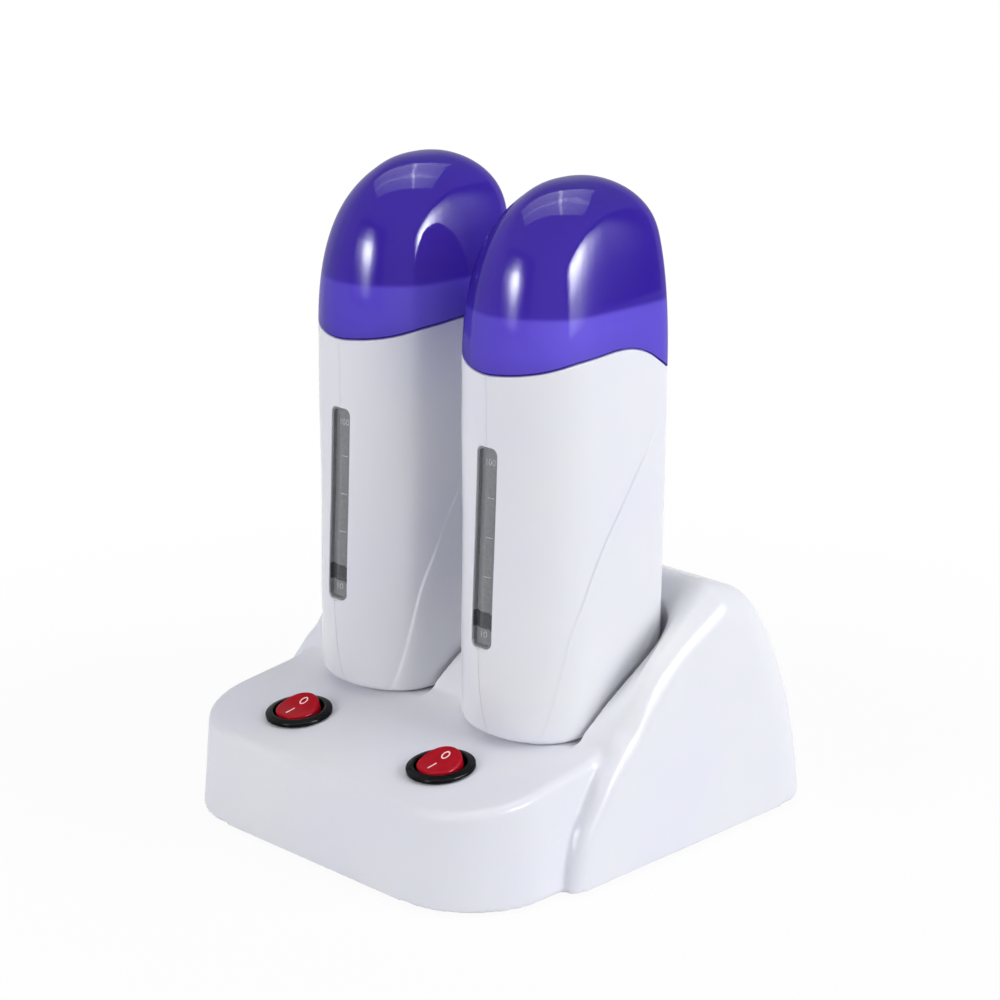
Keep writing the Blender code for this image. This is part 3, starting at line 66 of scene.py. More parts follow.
CREASE_WIDTH = 0.8 * MM
CREASE_FADE = 0.74
CREASE_END = 0.83
SEAM_SWELL = 5.9 * MM
CAP_HEIGHT = 57.5 * MM
APEX_SETBACK = 10.5 * MM
SHOULDER_HEIGHT = 6.0 * MM
REAR_CROWN = 18.9 * MM
SIDE_POWER, FRONT_POWER, REAR_POWER = 2.54, 2.68, 2.40
FLANK_CROWN_SHARE = 0.045
BLEND_START = 4.0 * MM
BLEND_REACH = 7.0 * MM
BLEND_WEIGHTS = (1, 2, 3, 4, 3, 2, 1)
APEX_HEIGHT = BODY_HEIGHT + CAP_HEIGHT
front_line = (
    (0.000, 0.860), (0.033, 0.902), (0.078, 0.942), (0.130, 0.974), (0.180, 0.989),
    (0.250, 1.000), (0.400, 0.980), (0.600, 0.933), (0.800, 0.892), (0.930, 0.890),
    (1.000, 0.900), (1.060, 0.900))
nose_power = (
    (0.000, 2.15), (0.030, 1.95), (0.086, 1.65), (0.127, 1.52), (0.168, 1.43),
    (0.250, 1.37), (0.414, 1.38), (0.578, 1.50), (0.742, 1.72), (0.824, 1.80),
    (0.906, 1.78), (1.000, 1.70), (1.060, 1.70))
side_line = ((0.000, 0.970), (0.250, 0.984), (0.600, 0.994), (1.060, 1.000))
rear_line = ((0.000, 0.955), (0.400, 0.978), (0.800, 0.995), (1.060, 1.000))
crease_line = (
    (0.000, 0.138), (0.068, 0.169), (0.153, 0.203), (0.245, 0.240), (0.301, 0.268),
    (0.342, 0.299), (0.381, 0.336), (0.465, 0.413), (0.547, 0.505), (0.613, 0.595),
    (0.690, 0.696), (0.775, 0.816), (0.830, 0.890), (1.060, 0.960))
seam_line = (
    (0.00, 0.00), (0.10, 0.30), (0.24, 0.74), (0.40, 0.90), (0.57, 1.00),
    (0.68, 0.88), (0.79, 0.46), (0.87, -0.07), (0.93, -0.50), (1.00, -0.85))
NOSE_STEPS, CREASE_STEPS, FLANK_STEPS, CORNER_STEPS, BACK_STEPS = 44, 6, 16, 9, 5
EDGE_STEPS, RIM_STEPS, BODY_STEPS, SEAM_STEPS = 8, 5, 54, 12
HAIR = 0.001 * MM
SEAM_ROWS_SHARE = 0.91


def through(table, at):
    """Value of a smooth curve through a table of (place, value) pairs."""
    if at <= table[0][0]:
        return table[0][1]
    if at >= table[-1][0]:
        return table[-1][1]
    last = len(table) - 1
    k = max(i for i in range(last) if table[i][0] <= at)
    slopes = []
    for i in (k, k + 1):
        low, high = max(i - 1, 0), min(i + 1, last)
        slopes.append((table[high][1] - table[low][1]) / (table[high][0] - table[low][0]))
    span = table[k + 1][0] - table[k][0]
    t = (at - table[k][0]) / span
    start = (2 * t**3 - 3 * t**2 + 1) * table[k][1] + (t**3 - 2 * t**2 + t) * span * slopes[0]
    end = (3 * t**2 - 2 * t**3) * table[k + 1][1] + (t**3 - t**2) * span * slopes[1]
    return start + end


def heater_section(level, inset):
    """Half width, front, rear, nose length, nose power and rear corner of the outline at a height."""
    share = level / BODY_HEIGHT
    side = HALF_THICKNESS * through(side_line, share) - inset
    front = FRONT_REACH * through(front_line, share) - inset
    rear = REAR_REACH * through(rear_line, share) - inset
    apex = APEX_HEIGHT - inset

    def crown(start, power):
        rise = min(max((level - start) / (apex - start), 0.0), 1.0)
        return (1 - rise**power) ** (1 / power)

    side *= crown(BODY_HEIGHT - SHOULDER_HEIGHT, SIDE_POWER)
    front_scale = crown(BODY_HEIGHT - SHOULDER_HEIGHT, FRONT_POWER)
    rear_scale = crown(APEX_HEIGHT - REAR_CROWN, REAR_POWER)
    front = (front + APEX_SETBACK) * front_scale - APEX_SETBACK
    rear = (rear - APEX_SETBACK) * rear_scale + APEX_SETBACK
    roundness = 1 - rear_scale
    nose = NOSE_LENGTH * (1 - roundness) + (front + APEX_SETBACK) * roundness
    nose = min(nose, (front + rear) / 2)
    power = through(nose_power, share) * (1 - roundness) + 2 * roundness
    corner = max(REAR_CORNER - inset, HAIR)
    corner_x = min(corner + (side - corner) * roundness, side)
    corner_y = corner + (rear - APEX_SETBACK - corner) * roundness
    return side, front, rear, nose, power, corner_x, max(min(corner_y, rear - APEX_SETBACK), 0.0)


def crown_scale(y, front, rear):
    """Narrowing of the section away from its middle, which crowns the wide sides."""
    run = (2 * y + front - rear) / (front + rear)
    return 1 - FLANK_CROWN_SHARE * run * run


def nose_share(run, nose, power):
    """Share of the half width at a distance behind the tip of the nose."""
    reach = min(max(run / max(nose, HAIR), 0.0), 1.0)
    return (1 - (1 - reach) ** power) ** (1 / power)


def blended_share(run, nose, power):
    """The same, with the nose eased into the flank so that gloss flows across."""
    reach = min(BLEND_REACH, max(run - BLEND_START, 0.0) / 2)
    last = len(BLEND_WEIGHTS) // 2
    total = sum(weight * nose_share(run + reach * (k - last) / last, nose, power)
                for k, weight in enumerate(BLEND_WEIGHTS))
    return total / sum(BLEND_WEIGHTS)


def outline_point(level, inset, step, creased=False):
    """One point of the half outline at a height, counted from the nose to the middle of the back."""
    side, front, rear, nose, power, corner_x, corner_y = heater_section(level, inset)
    corner_start = rear - corner_y
    share = level / BODY_HEIGHT
    crease_y = through(crease_line, share) * (FRONT_REACH + REAR_REACH) - FRONT_REACH
    latest = corner_start - CREASE_WIDTH
    crease_y = max(min(crease_y, latest), min(CREASE_WIDTH - front, latest))
    fade = min(max((CREASE_END - share) / (CREASE_END - CREASE_FADE), 0.0), 1.0)
    depth = CREASE_DEPTH * fade if creased else 0.0
    lowered = 0.0
    flank_start = min(crease_y + CREASE_WIDTH, corner_start)
    if step <= NOSE_STEPS:
        run = (step / NOSE_STEPS) ** 2
        y = -front + (crease_y + front) * run
        lowered = depth * run**2
    elif step <= NOSE_STEPS + CREASE_STEPS:
        run = (step - NOSE_STEPS) / CREASE_STEPS
        y = crease_y + (flank_start - crease_y) * run
        lowered = depth * (1 - run * run * (3 - 2 * run))
    elif step <= NOSE_STEPS + CREASE_STEPS + FLANK_STEPS:
        run = (step - NOSE_STEPS - CREASE_STEPS) / FLANK_STEPS
        y = flank_start + (corner_start - flank_start) * run**1.5
    elif step <= NOSE_STEPS + CREASE_STEPS + FLANK_STEPS + CORNER_STEPS:
        turn = math.pi / 2 * (step - NOSE_STEPS - CREASE_STEPS - FLANK_STEPS) / CORNER_STEPS
        x, y = side - corner_x * (1 - math.cos(turn)), corner_start + corner_y * math.sin(turn)
        return x * crown_scale(y, front, rear), y
    else:
        run = (step - NOSE_STEPS - CREASE_STEPS - FLANK_STEPS - CORNER_STEPS) / BACK_STEPS
        return (side - corner_x) * (1 - run) * crown_scale(rear, front, rear), rear
    x = side * blended_share(y + front, nose, power) * crown_scale(y, front, rear)
    return x - lowered, y


OUTLINE_LAST = NOSE_STEPS + CREASE_STEPS + FLANK_STEPS + CORNER_STEPS + BACK_STEPS


def seam_height(y):
    """Height of the wavy seam between body and cap at a depth."""
    front = FRONT_REACH * front_line[-1][1]
    return BODY_HEIGHT + SEAM_SWELL * through(seam_line, (y + front) / (front + REAR_REACH))


seam = [seam_height(outline_point(BODY_HEIGHT, 0.0, i)[1]) for i in range(OUTLINE_LAST + 1)]


def mesh_of(name, points, faces):
    """A mesh from points and faces, with its faces turned outwards."""
    mesh = bpy.data.meshes.new(name)
    mesh.from_pydata([tuple(point) for point in points], [], faces)
    shape = bmesh.new()
    shape.from_mesh(mesh)
    bmesh.ops.remove_doubles(shape, verts=shape.verts, dist=HAIR)
    bmesh.ops.recalc_face_normals(shape, faces=shape.faces)
    if shape.calc_volume(signed=True) < 0:
        bmesh.ops.reverse_faces(shape, faces=shape.faces)
    shape.to_mesh(mesh)
    shape.free()
    return mesh


def bridge(faces, low, high, count):
    """Add the band of quads between the two rings of points that start at low and high."""
    for i in range(count):
        j = (i + 1) % count
        faces.append((low + i, low + j, high + j, high + i))


def loft(name, rings, closed_loop=False):
    """Skin equal rings of points, with flat ends or as a closed loop of rings."""
    count = len(rings[0])
    points = [point for ring in rings for point in ring]
    faces = []
    for k in range(len(rings) if closed_loop else len(rings) - 1):
        bridge(faces, k * count, (k + 1) % len(rings) * count, count)
    if not closed_loop:
        faces.append(tuple(reversed(range(count))))
        faces.append(tuple(range(len(points) - count, len(points))))
    return mesh_of(name, points, faces)


def boolean(mesh, operation, *tools):
    """The mesh cut by, joined with or kept inside each of the tool meshes."""
    for tool in tools:
        body = bpy.data.objects.new("boolean_body", mesh)
        other = bpy.data.objects.new("boolean_tool", tool)
        bpy.context.collection.objects.link(body)
        bpy.context.collection.objects.link(other)
        step = body.modifiers.new("step", "BOOLEAN")
        step.operation, step.solver, step.object = operation, "EXACT", other
        graph = bpy.context.evaluated_depsgraph_get()
        graph.update()
        mesh = bpy.data.meshes.new_from_object(body.evaluated_get(graph))
        bpy.data.objects.remove(body)
        bpy.data.objects.remove(other)
    return mesh


def moved(mesh, place, turn=None):
    """The mesh turned and carried to its place."""
    mesh.transform(Matrix.Translation(Vector(place)) @ (turn or Matrix.Identity(4)))
    return mesh


def piece(name, mesh, finish, body, slot, *nodes, sharp=35):
    """Show a mesh as a smooth shaded piece on a body, in the place of its CAD nodes."""
    mesh.materials.clear()
    mesh.materials.append(finish)
    mesh.shade_smooth()
    mesh.set_sharp_from_angle(angle=math.radians(sharp))
    made = bpy.data.objects.new(name, mesh)
    bpy.context.collection.objects.link(made)
    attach(made, body)
    if nodes:
        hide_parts(*nodes)
    return made


def shell_rows(inset, edge):
    """(heights, insets) rows of one shell surface, from its bottom edge to the seam."""
    rows = []
    for i in range(EDGE_STEPS + 1):
        turn = math.pi / 2 * i / EDGE_STEPS
        level = inset + edge * (1 - math.cos(turn))
        rows.append(([level] * len(seam), inset + edge * (1 - math.sin(turn))))
    low, high = inset + edge, BODY_HEIGHT * SEAM_ROWS_SHARE
    for i in range(1, BODY_STEPS + 1):
        rows.append(([low + (high - low) * i / BODY_STEPS] * len(seam), inset))
    top = RIM_EDGE if inset == 0.0 else 0.0
    for i in range(1, SEAM_STEPS + 1):
        rows.append(([high + (z - top - high) * i / SEAM_STEPS for z in seam], inset))
    for i in range(1, RIM_STEPS + 1):
        turn = math.pi / 2 * i / RIM_STEPS
        heights = [z - top * (1 - math.sin(turn)) for z in seam]
        rows.append((heights, inset + top * (1 - math.cos(turn))))
    return rows


def half_shell(name):
    """The right clamshell half, closed, with its parting groove on the middle plane."""
    surfaces = []
    for inset, edge in ((0.0, BOTTOM_EDGE), (SHELL_WALL, BOTTOM_EDGE - SHELL_WALL)):
        rows = []
        for heights, depth in shell_rows(inset, edge):
            row = []
            for i, z in enumerate(heights):
                x, y = outline_point(z, depth, i, creased=inset == 0.0)
                if inset == 0.0 and i in (0, OUTLINE_LAST):
                    y += PARTING_DEPTH if i == 0 else -PARTING_DEPTH
                row.append((max(x, PARTING_HALF_GAP), y, z))
            rows.append(row)
        surfaces.append(rows)
    count, height = len(seam), len(surfaces[0])
    points = [point for rows in surfaces for row in rows for point in row]
    inner = height * count
    faces = []
    for k in range(height - 1):
        for start, flip in ((0, False), (inner, True)):
            low, high = start + k * count, start + (k + 1) * count
            for i in range(count - 1):
                quad = (low + i, low + i + 1, high + i + 1, high + i)
                faces.append(quad[::-1] if flip else quad)
        low, high = k * count, (k + 1) * count
        faces.append((low, high, inner + high, inner + low))
        far = count - 1
        faces.append((low + far, inner + low + far, inner + high + far, high + far))
    top = (height - 1) * count
    for i in range(count - 1):
        faces.append((top + i, top + i + 1, inner + top + i + 1, inner + top + i))
    faces.append(tuple(reversed(range(count))))
    faces.append(tuple(inner + i for i in range(count)))
    faces.append((0, inner, inner + count - 1, count - 1))
    return mesh_of(name, points, faces)


def nose_y(x, z):
    """Depth of the body's front surface at a place on the nose."""
    side, front, rear, nose, power, _, _ = heater_section(z, 0.0)
    y = -front
    for _ in range(4):
        share = min(abs(x) / crown_scale(y, front, rear) / side, 1.0)
        y = nose * (1 - (1 - share**power) ** (1 / power)) - front
    return y


WINDOW_WIDTH = 8.8 * MM
WINDOW_BOTTOM = 32.0 * MM
WINDOW_HEIGHT = 66.4 * MM
WINDOW_CORNER = 2.2 * MM
WINDOW_EDGE = 0.35 * MM
WINDOW_ARC, WINDOW_SIDE, WINDOW_EDGE_STEPS = 8, 30, 5
CUTTER_LEAD = 1.2 * MM
CUTTER_REACH = 9.0 * MM


def window_ring(grow, depth):
    """Rounded upright frame round the window, this far behind the nose's surface."""
    half = WINDOW_WIDTH / 2 + grow
    low, high = WINDOW_BOTTOM - grow, WINDOW_BOTTOM + WINDOW_HEIGHT + grow
    corner = min(max(WINDOW_CORNER + grow, 0.1 * MM), half - 0.02 * MM)
    right = []
    for i in range(WINDOW_ARC + 1):
        turn = math.pi / 2 * i / WINDOW_ARC
        right.append((half - corner * (1 - math.sin(turn)), low + corner * (1 - math.cos(turn))))
    for i in range(1, WINDOW_SIDE):
        right.append((half, low + corner + (high - low - 2 * corner) * i / WINDOW_SIDE))
    for i in range(WINDOW_ARC + 1):
        turn = math.pi / 2 * i / WINDOW_ARC
        right.append((half - corner * (1 - math.cos(turn)), high - corner * (1 - math.sin(turn))))
    ring = right + [(-x, z) for x, z in reversed(right)]
    return [(x, nose_y(x, z) + depth, z) for x, z in ring]


window_cutter = []
for i in range(-3, WINDOW_EDGE_STEPS + 2):
    turn = math.pi / 2 * min(max(i, 0), WINDOW_EDGE_STEPS) / WINDOW_EDGE_STEPS
    grow = WINDOW_EDGE * (1 - math.sin(turn))
    depth = WINDOW_EDGE * (1 - math.cos(turn))
    if i < 0:
        grow, depth = WINDOW_EDGE * (1 - i * 0.6), i * CUTTER_LEAD
    if i > WINDOW_EDGE_STEPS:
        depth = CUTTER_REACH
    window_cutter.append(window_ring(grow, depth))
window_cutter = loft("window_cutter", window_cutter)
SOCKET_HALF_X, SOCKET_HALF_Y = 5.8 * MM, 12.3 * MM
socket_plan = [(-SOCKET_HALF_X, -SOCKET_HALF_Y), (SOCKET_HALF_X, -SOCKET_HALF_Y),
               (SOCKET_HALF_X, SOCKET_HALF_Y), (-SOCKET_HALF_X, SOCKET_HALF_Y)]
socket_cutter = loft(
    "socket_cutter", [[(x, y, z) for x, y in socket_plan] for z in (-5 * MM, 5 * MM)])


def linear(code):
    """An sRGB hex colour as linear RGBA."""
    shares = [int(code[i:i + 2], 16) / 255 for i in (1, 3, 5)]
    return [s / 12.92 if s <= 0.04045 else ((s + 0.055) / 1.055) ** 2.4 for s in shares] + [1.0]


def add(tree, kind, settings=(), inputs=()):
    """Add a shader node with its settings, and its values or links by socket."""
    node = tree.nodes.new("ShaderNode" + kind)
    for key, value in dict(settings).items():
        setattr(node, key, value)
    for key, value in dict(inputs).items():
        if isinstance(value, bpy.types.NodeSocket):
            tree.links.new(value, node.inputs[key])
        else:
            node.inputs[key].default_value = value
    return node


def start_material(name):
    """An empty node material and its tree."""
    made = bpy.data.materials.new(name)
    made.use_nodes = True
    made.node_tree.nodes.clear()
    return made, made.node_tree


def shades(tree, pattern, *stops):
    """Colour of a pattern by (place, sRGB colour) stops."""
    ramp = add(tree, "ValToRGB", (), {"Fac": pattern})
    while len(ramp.color_ramp.elements) < len(stops):
        ramp.color_ramp.elements.new(0.5)
    for element, (place, colour) in zip(ramp.color_ramp.elements, stops):
        element.position = place
        element.color = linear(colour)
    return ramp.outputs["Color"]


# ABS from a polished mould: near white with a cool tint, glossy, with slow flow shading in
# the wall and the faint waviness that gloss shows; waves drawn about twice their real size.
# Its specular level is far below real ABS, because the studio's cards are far too bright for it.
moulded_white_abs, tree = start_material("moulded_white_abs")
where = add(tree, "TexCoord").outputs["Object"]
flow = add(tree, "TexNoise", (), {"Vector": where, "Scale": 1 / (45 * MM), "Detail": 2.0})
peel = add(tree, "TexNoise", (), {"Vector": where, "Scale": 1 / (3.2 * MM), "Detail": 1.0})
wave = add(tree, "Bump", (), {"Height": peel.outputs["Fac"], "Strength": 0.05,
                              "Distance": 0.05 * MM})
rough = add(tree, "MapRange", (), {"Value": flow.outputs["Fac"], "To Min": 0.14, "To Max": 0.22})
skin = add(tree, "BsdfPrincipled", (), {
    "Base Color": shades(tree, flow.outputs["Fac"], (0.3, "#E9EAEE"), (0.7, "#E5E6F0")),
    "Roughness": rough.outputs[0],
    "Normal": wave.outputs["Normal"], "IOR": 1.52, "Specular IOR Level": 0.03})
add(tree, "OutputMaterial", (), {"Surface": skin.outputs["BSDF"]})

right_shell = boolean(half_shell("shell_half"), "DIFFERENCE", window_cutter, socket_cutter)
left_shell = right_shell.copy()
left_shell.transform(Matrix.Scale(-1, 4, (1, 0, 0)))
left_shell.flip_normals()

places = {}
for side in ("left", "right"):
    low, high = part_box("heater_%s_shell_right_half" % side)
    places[side] = Vector((low.x - CAD_HALF_GAP, low.y + FRONT_REACH, low.z))
    for half, mesh in (("left", left_shell), ("right", right_shell)):
        piece("heater_%s_shell_%s_moulding" % (side, half), moved(mesh.copy(), places[side]),
              moulded_white_abs, "heater_" + side, "white_abs",
              "heater_%s_shell_%s_half" % (side, half))


# Level windows: a tray-shaped bar of clear styrene in each body's front slot, its rim just
# under the white edge and its floor deeper, with raised numbers and level lines moulded on it.
LENS_GAP = 0.12 * MM
LENS_SINK = 0.40 * MM
LENS_RIM = 0.55 * MM
LENS_FLOOR = 1.9 * MM
LENS_BACK = 3.3 * MM
LENS_LIP = 1.1 * MM
LENS_LIP_DEPTH = 2.5 * MM
LENS_MIDDLE = 0.2 * MM
LENS_FLOOR_RINGS = 4
lens_sections = (
    (LENS_LIP, LENS_BACK), (LENS_LIP, LENS_LIP_DEPTH), (-LENS_GAP, LENS_LIP_DEPTH),
    (-LENS_GAP, LENS_SINK + 0.20 * MM), (-LENS_GAP - 0.06 * MM, LENS_SINK + 0.06 * MM),
    (-LENS_GAP - 0.20 * MM, LENS_SINK), (-LENS_GAP - LENS_RIM, LENS_SINK),
    (-LENS_GAP - LENS_RIM - 0.12 * MM, LENS_SINK + 0.10 * MM),
    (-LENS_GAP - LENS_RIM - 0.25 * MM, LENS_FLOOR - 0.25 * MM),
    (-LENS_GAP - LENS_RIM - 0.33 * MM, LENS_FLOOR - 0.07 * MM),
    (-LENS_GAP - LENS_RIM - 0.50 * MM, LENS_FLOOR))


def close_ring(points, faces, ring, flip):
    """Close a ring that mirrors left and right with quads from side to side."""
    start, count = len(points), len(ring)
    points.extend(ring)
    for i in range(count // 2 - 1):
        quad = (start + i, start + i + 1, start + count - i - 2, start + count - i - 1)
        faces.append(quad if flip else quad[::-1])


def lens_mesh(name):
    """Clear window bar: lip, body, rim and sunken floor as one closed form."""
    rings = [window_ring(grow, depth) for grow, depth in lens_sections]
    rim = lens_sections[-1][0]
    for k in range(1, LENS_FLOOR_RINGS + 1):
        grow = rim + (-WINDOW_WIDTH / 2 + LENS_MIDDLE - rim) * k / LENS_FLOOR_RINGS
        rings.append(window_ring(grow, LENS_FLOOR))
    count = len(rings[0])
    points = [point for ring in rings for point in ring]
    faces = []
    for k in range(len(rings) - 1):
        bridge(faces, k * count, (k + 1) * count, count)
    close_ring(points, faces, rings[0], True)
    close_ring(points, faces, rings[-1], False)
    return mesh_of(name, points, faces)


# Clear styrene that has greyed a little: the metal well shows through as a soft grey. Low in the
# window, where the well's slot ends, a band of the floor is painted darker: painted shade for the dim
# inside behind it.
clear_styrene, tree = start_material("clear_styrene")
where = add(tree, "TexCoord").outputs["Object"]
height = add(tree, "SeparateXYZ", (), {"Vector": where}).outputs["Z"]
grain = add(tree, "TexNoise", (), {"Vector": where, "Scale": 1 / (1.1 * MM), "Detail": 3.0})
window_low = places["right"].z + WINDOW_BOTTOM
dark_from, dark_to = window_low + 6.4 * MM, window_low + 11.9 * MM
above = add(tree, "MapRange", {"interpolation_type": "SMOOTHSTEP"}, {
    "Value": height, "From Min": dark_from - 0.2 * MM, "From Max": dark_from + 0.2 * MM})
below = add(tree, "MapRange", {"interpolation_type": "SMOOTHSTEP"}, {
    "Value": height, "From Min": dark_to + 0.2 * MM, "From Max": dark_to - 0.2 * MM})
# Painted shade: a darker band low in the window, for the dim inside where the well's slot ends.
slot_end_painted_shade = add(tree, "Math", {"operation": "MULTIPLY"}, {
    0: above.outputs[0], 1: below.outputs[0]}).outputs[0]
tint = add(tree, "Mix", {"data_type": "RGBA"}, {
    "Factor": slot_end_painted_shade, 6: shades(tree, grain.outputs["Fac"], (0.3, "#96989D"), (0.7, "#A2A4A8")),
    7: linear("#5A5C60")}).outputs[2]
rough = add(tree, "MapRange", (), {"Value": grain.outputs["Fac"], "To Min": 0.05, "To Max": 0.14})
pane = add(tree, "BsdfPrincipled", (), {
    "Base Color": tint, "Roughness": rough.outputs[0], "IOR": 1.57, "Transmission Weight": 0.0})
clear = add(tree, "BsdfTransparent", (), {"Color": linear("#D2D4D6")})
through_pane = add(tree, "MixShader", (), {
    0: 0.35, 1: pane.outputs["BSDF"], 2: clear.outputs["BSDF"]})
add(tree, "OutputMaterial", (), {"Surface": through_pane.outputs["Shader"]})


def grained(name, dark, light, low, high, grain, detail, sockets, relief=None, stretch=None,
            spread=(0.3, 0.7)):
    """A finish whose colour, roughness (low to high) and relief follow one grain of a real size."""
    made, tree = start_material(name)
    where = add(tree, "TexCoord").outputs["Object"]
    if stretch:
        along = add(tree, "Mapping", (), {"Vector": where, "Scale": (1, 1, stretch)})
        where = along.outputs["Vector"]
    marks = add(tree, "TexNoise", (), {"Vector": where, "Scale": 1 / grain, "Detail": detail})
    marks = marks.outputs["Fac"]
    rough = add(tree, "MapRange", (), {"Value": marks, "To Min": low, "To Max": high})
    skin = add(tree, "BsdfPrincipled", (), {
        "Base Color": shades(tree, marks, (spread[0], dark), (spread[1], light)),
        "Roughness": rough.outputs[0], **sockets})
    if relief:
        bump = add(tree, "Bump", (), {
            "Height": marks, "Strength": relief[0], "Distance": relief[1]})
        tree.links.new(bump.outputs["Normal"], skin.inputs["Normal"])
    add(tree, "OutputMaterial", (), {"Surface": skin.outputs["BSDF"]})
    return made


# The same styrene where it stands up as digits and lines, mottled, and painted paler than the floor:
# a painted highlight for the light that the raised marks catch
painted_highlight_styrene = grained("painted_highlight_styrene", "#A9ABAF", "#C2C4C7", 0.18, 0.35, 0.5 * MM, 2.0,
                          {"IOR": 1.57}, spread=(0.35, 0.65))

MARK_HEIGHT = 0.14 * MM
DIGIT_SIZE = 3.1 * MM
LINE_THICKNESS = 0.22 * MM
LINE_PITCH = 13.0 * MM
LINE_START = -0.2 * MM
LINE_REACH = 2.6 * MM
FIRST_LINE_DROP = 3.7 * MM
MARK_SINK = 0.03 * MM
HIGH_NUMBER_X, HIGH_NUMBER_DROP = 0.3 * MM, 5.2 * MM
LOW_NUMBER_X, LOW_NUMBER_RISE = 0.4 * MM, 4.4 * MM


def raised_on_floor(flat, name):
    """Give flat (x, z) outlines a thickness and lay them on the window's floor."""
    shape = bmesh.new()
    shape.from_mesh(flat)
    bmesh.ops.remove_doubles(shape, verts=shape.verts, dist=HAIR)
    bmesh.ops.subdivide_edges(shape, edges=shape.edges, cuts=1)
    bmesh.ops.triangulate(shape, faces=shape.faces)
    made = bmesh.ops.extrude_face_region(shape, geom=shape.faces[:])
    for vert in made["geom"]:
        if isinstance(vert, bmesh.types.BMVert):
            vert.co.y = -MARK_HEIGHT
    for vert in shape.verts:
        vert.co.y += nose_y(vert.co.x, vert.co.z) + (LENS_FLOOR + MARK_SINK)
    bmesh.ops.recalc_face_normals(shape, faces=shape.faces)
    mesh = bpy.data.meshes.new(name)
    shape.to_mesh(mesh)
    shape.free()
    return mesh


def digits_flat(text, size, x, z):
    """Flat digits in the (x, z) plane, centred on a place."""
    letters = bpy.data.curves.new("digits", "FONT")
    letters.body, letters.size = text, size
    letters.align_x, letters.align_y = "CENTER", "CENTER"
    letters.resolution_u = 3
    holder = bpy.data.objects.new("digits", letters)
    bpy.context.collection.objects.link(holder)
    graph = bpy.context.evaluated_depsgraph_get()
    mesh = bpy.data.meshes.new_from_object(holder.evaluated_get(graph))
    bpy.data.objects.remove(holder)
    mesh.transform(Matrix.Translation((x, 0, z)) @ Matrix.Rotation(math.pi / 2, 4, "X"))
    return mesh


def line_flat(x0, x1, z):
    """A flat level line in the (x, z) plane."""
    points = [(x0 + (x1 - x0) * i / 6, 0, z + up) for up in (-LINE_THICKNESS / 2,
                                                             LINE_THICKNESS / 2)
              for i in range(7)]
    faces = [(i, i + 1, i + 8, i + 7) for i in range(6)]
    mesh = bpy.data.meshes.new("level_line")
    mesh.from_pydata(points, [], faces)
    return mesh


window_top = WINDOW_BOTTOM + WINDOW_HEIGHT
lens = lens_mesh("lens")
marks = [
    ("number_high", digits_flat("100", DIGIT_SIZE, HIGH_NUMBER_X, window_top - HIGH_NUMBER_DROP)),
    ("number_low", digits_flat("10", DIGIT_SIZE, LOW_NUMBER_X, WINDOW_BOTTOM + LOW_NUMBER_RISE))]
for k in range(1, 4):
    level = window_top - FIRST_LINE_DROP - LINE_PITCH * k
    marks.append(("line_%d" % k, line_flat(LINE_START, LINE_REACH, level)))
for side in ("left", "right"):
    piece("heater_%s_window_pane" % side, moved(lens.copy(), places[side]),
          clear_styrene, "heater_" + side, "clear_window", "heater_%s_level_window" % side)
    for mark, flat in marks:
        solid = moved(raised_on_floor(flat, mark), places[side])
        piece("heater_%s_level_%s" % (side, mark), solid, painted_highlight_styrene,
              "heater_" + side, "clear_window")


# Caps: a deep dome of violet translucent styrene over each heater, moulded in one piece. Its
# skirt is thinner where it goes over the white collar, so the collar lightens it there.
DOME_WALL = 1.9 * MM
SKIRT_WALL = 1.35 * MM
CAP_LIFT = 0.30 * MM
CAP_RIM = 0.35 * MM
CAP_EDGE_FADE = 0.30 * MM
COLLAR_TOP = BODY_HEIGHT + 18.6 * MM
SKIRT_TOP = COLLAR_TOP + 0.8 * MM
SKIRT_BLEND = 0.3 * MM
SKIRT_STEPS, DOME_STEPS = 12, 34


def full_ring(heights, inset):
    """Closed outline with a height for each point of its half."""
    right = []
    for i, z in enumerate(heights):
        x, y = outline_point(z, inset, i)
        right.append((x, y, z))
    right[0], right[-1] = (0.0, *right[0][1:]), (0.0, *right[-1][1:])
    return right + [(-x, y, z) for x, y, z in reversed(right[1:-1])]


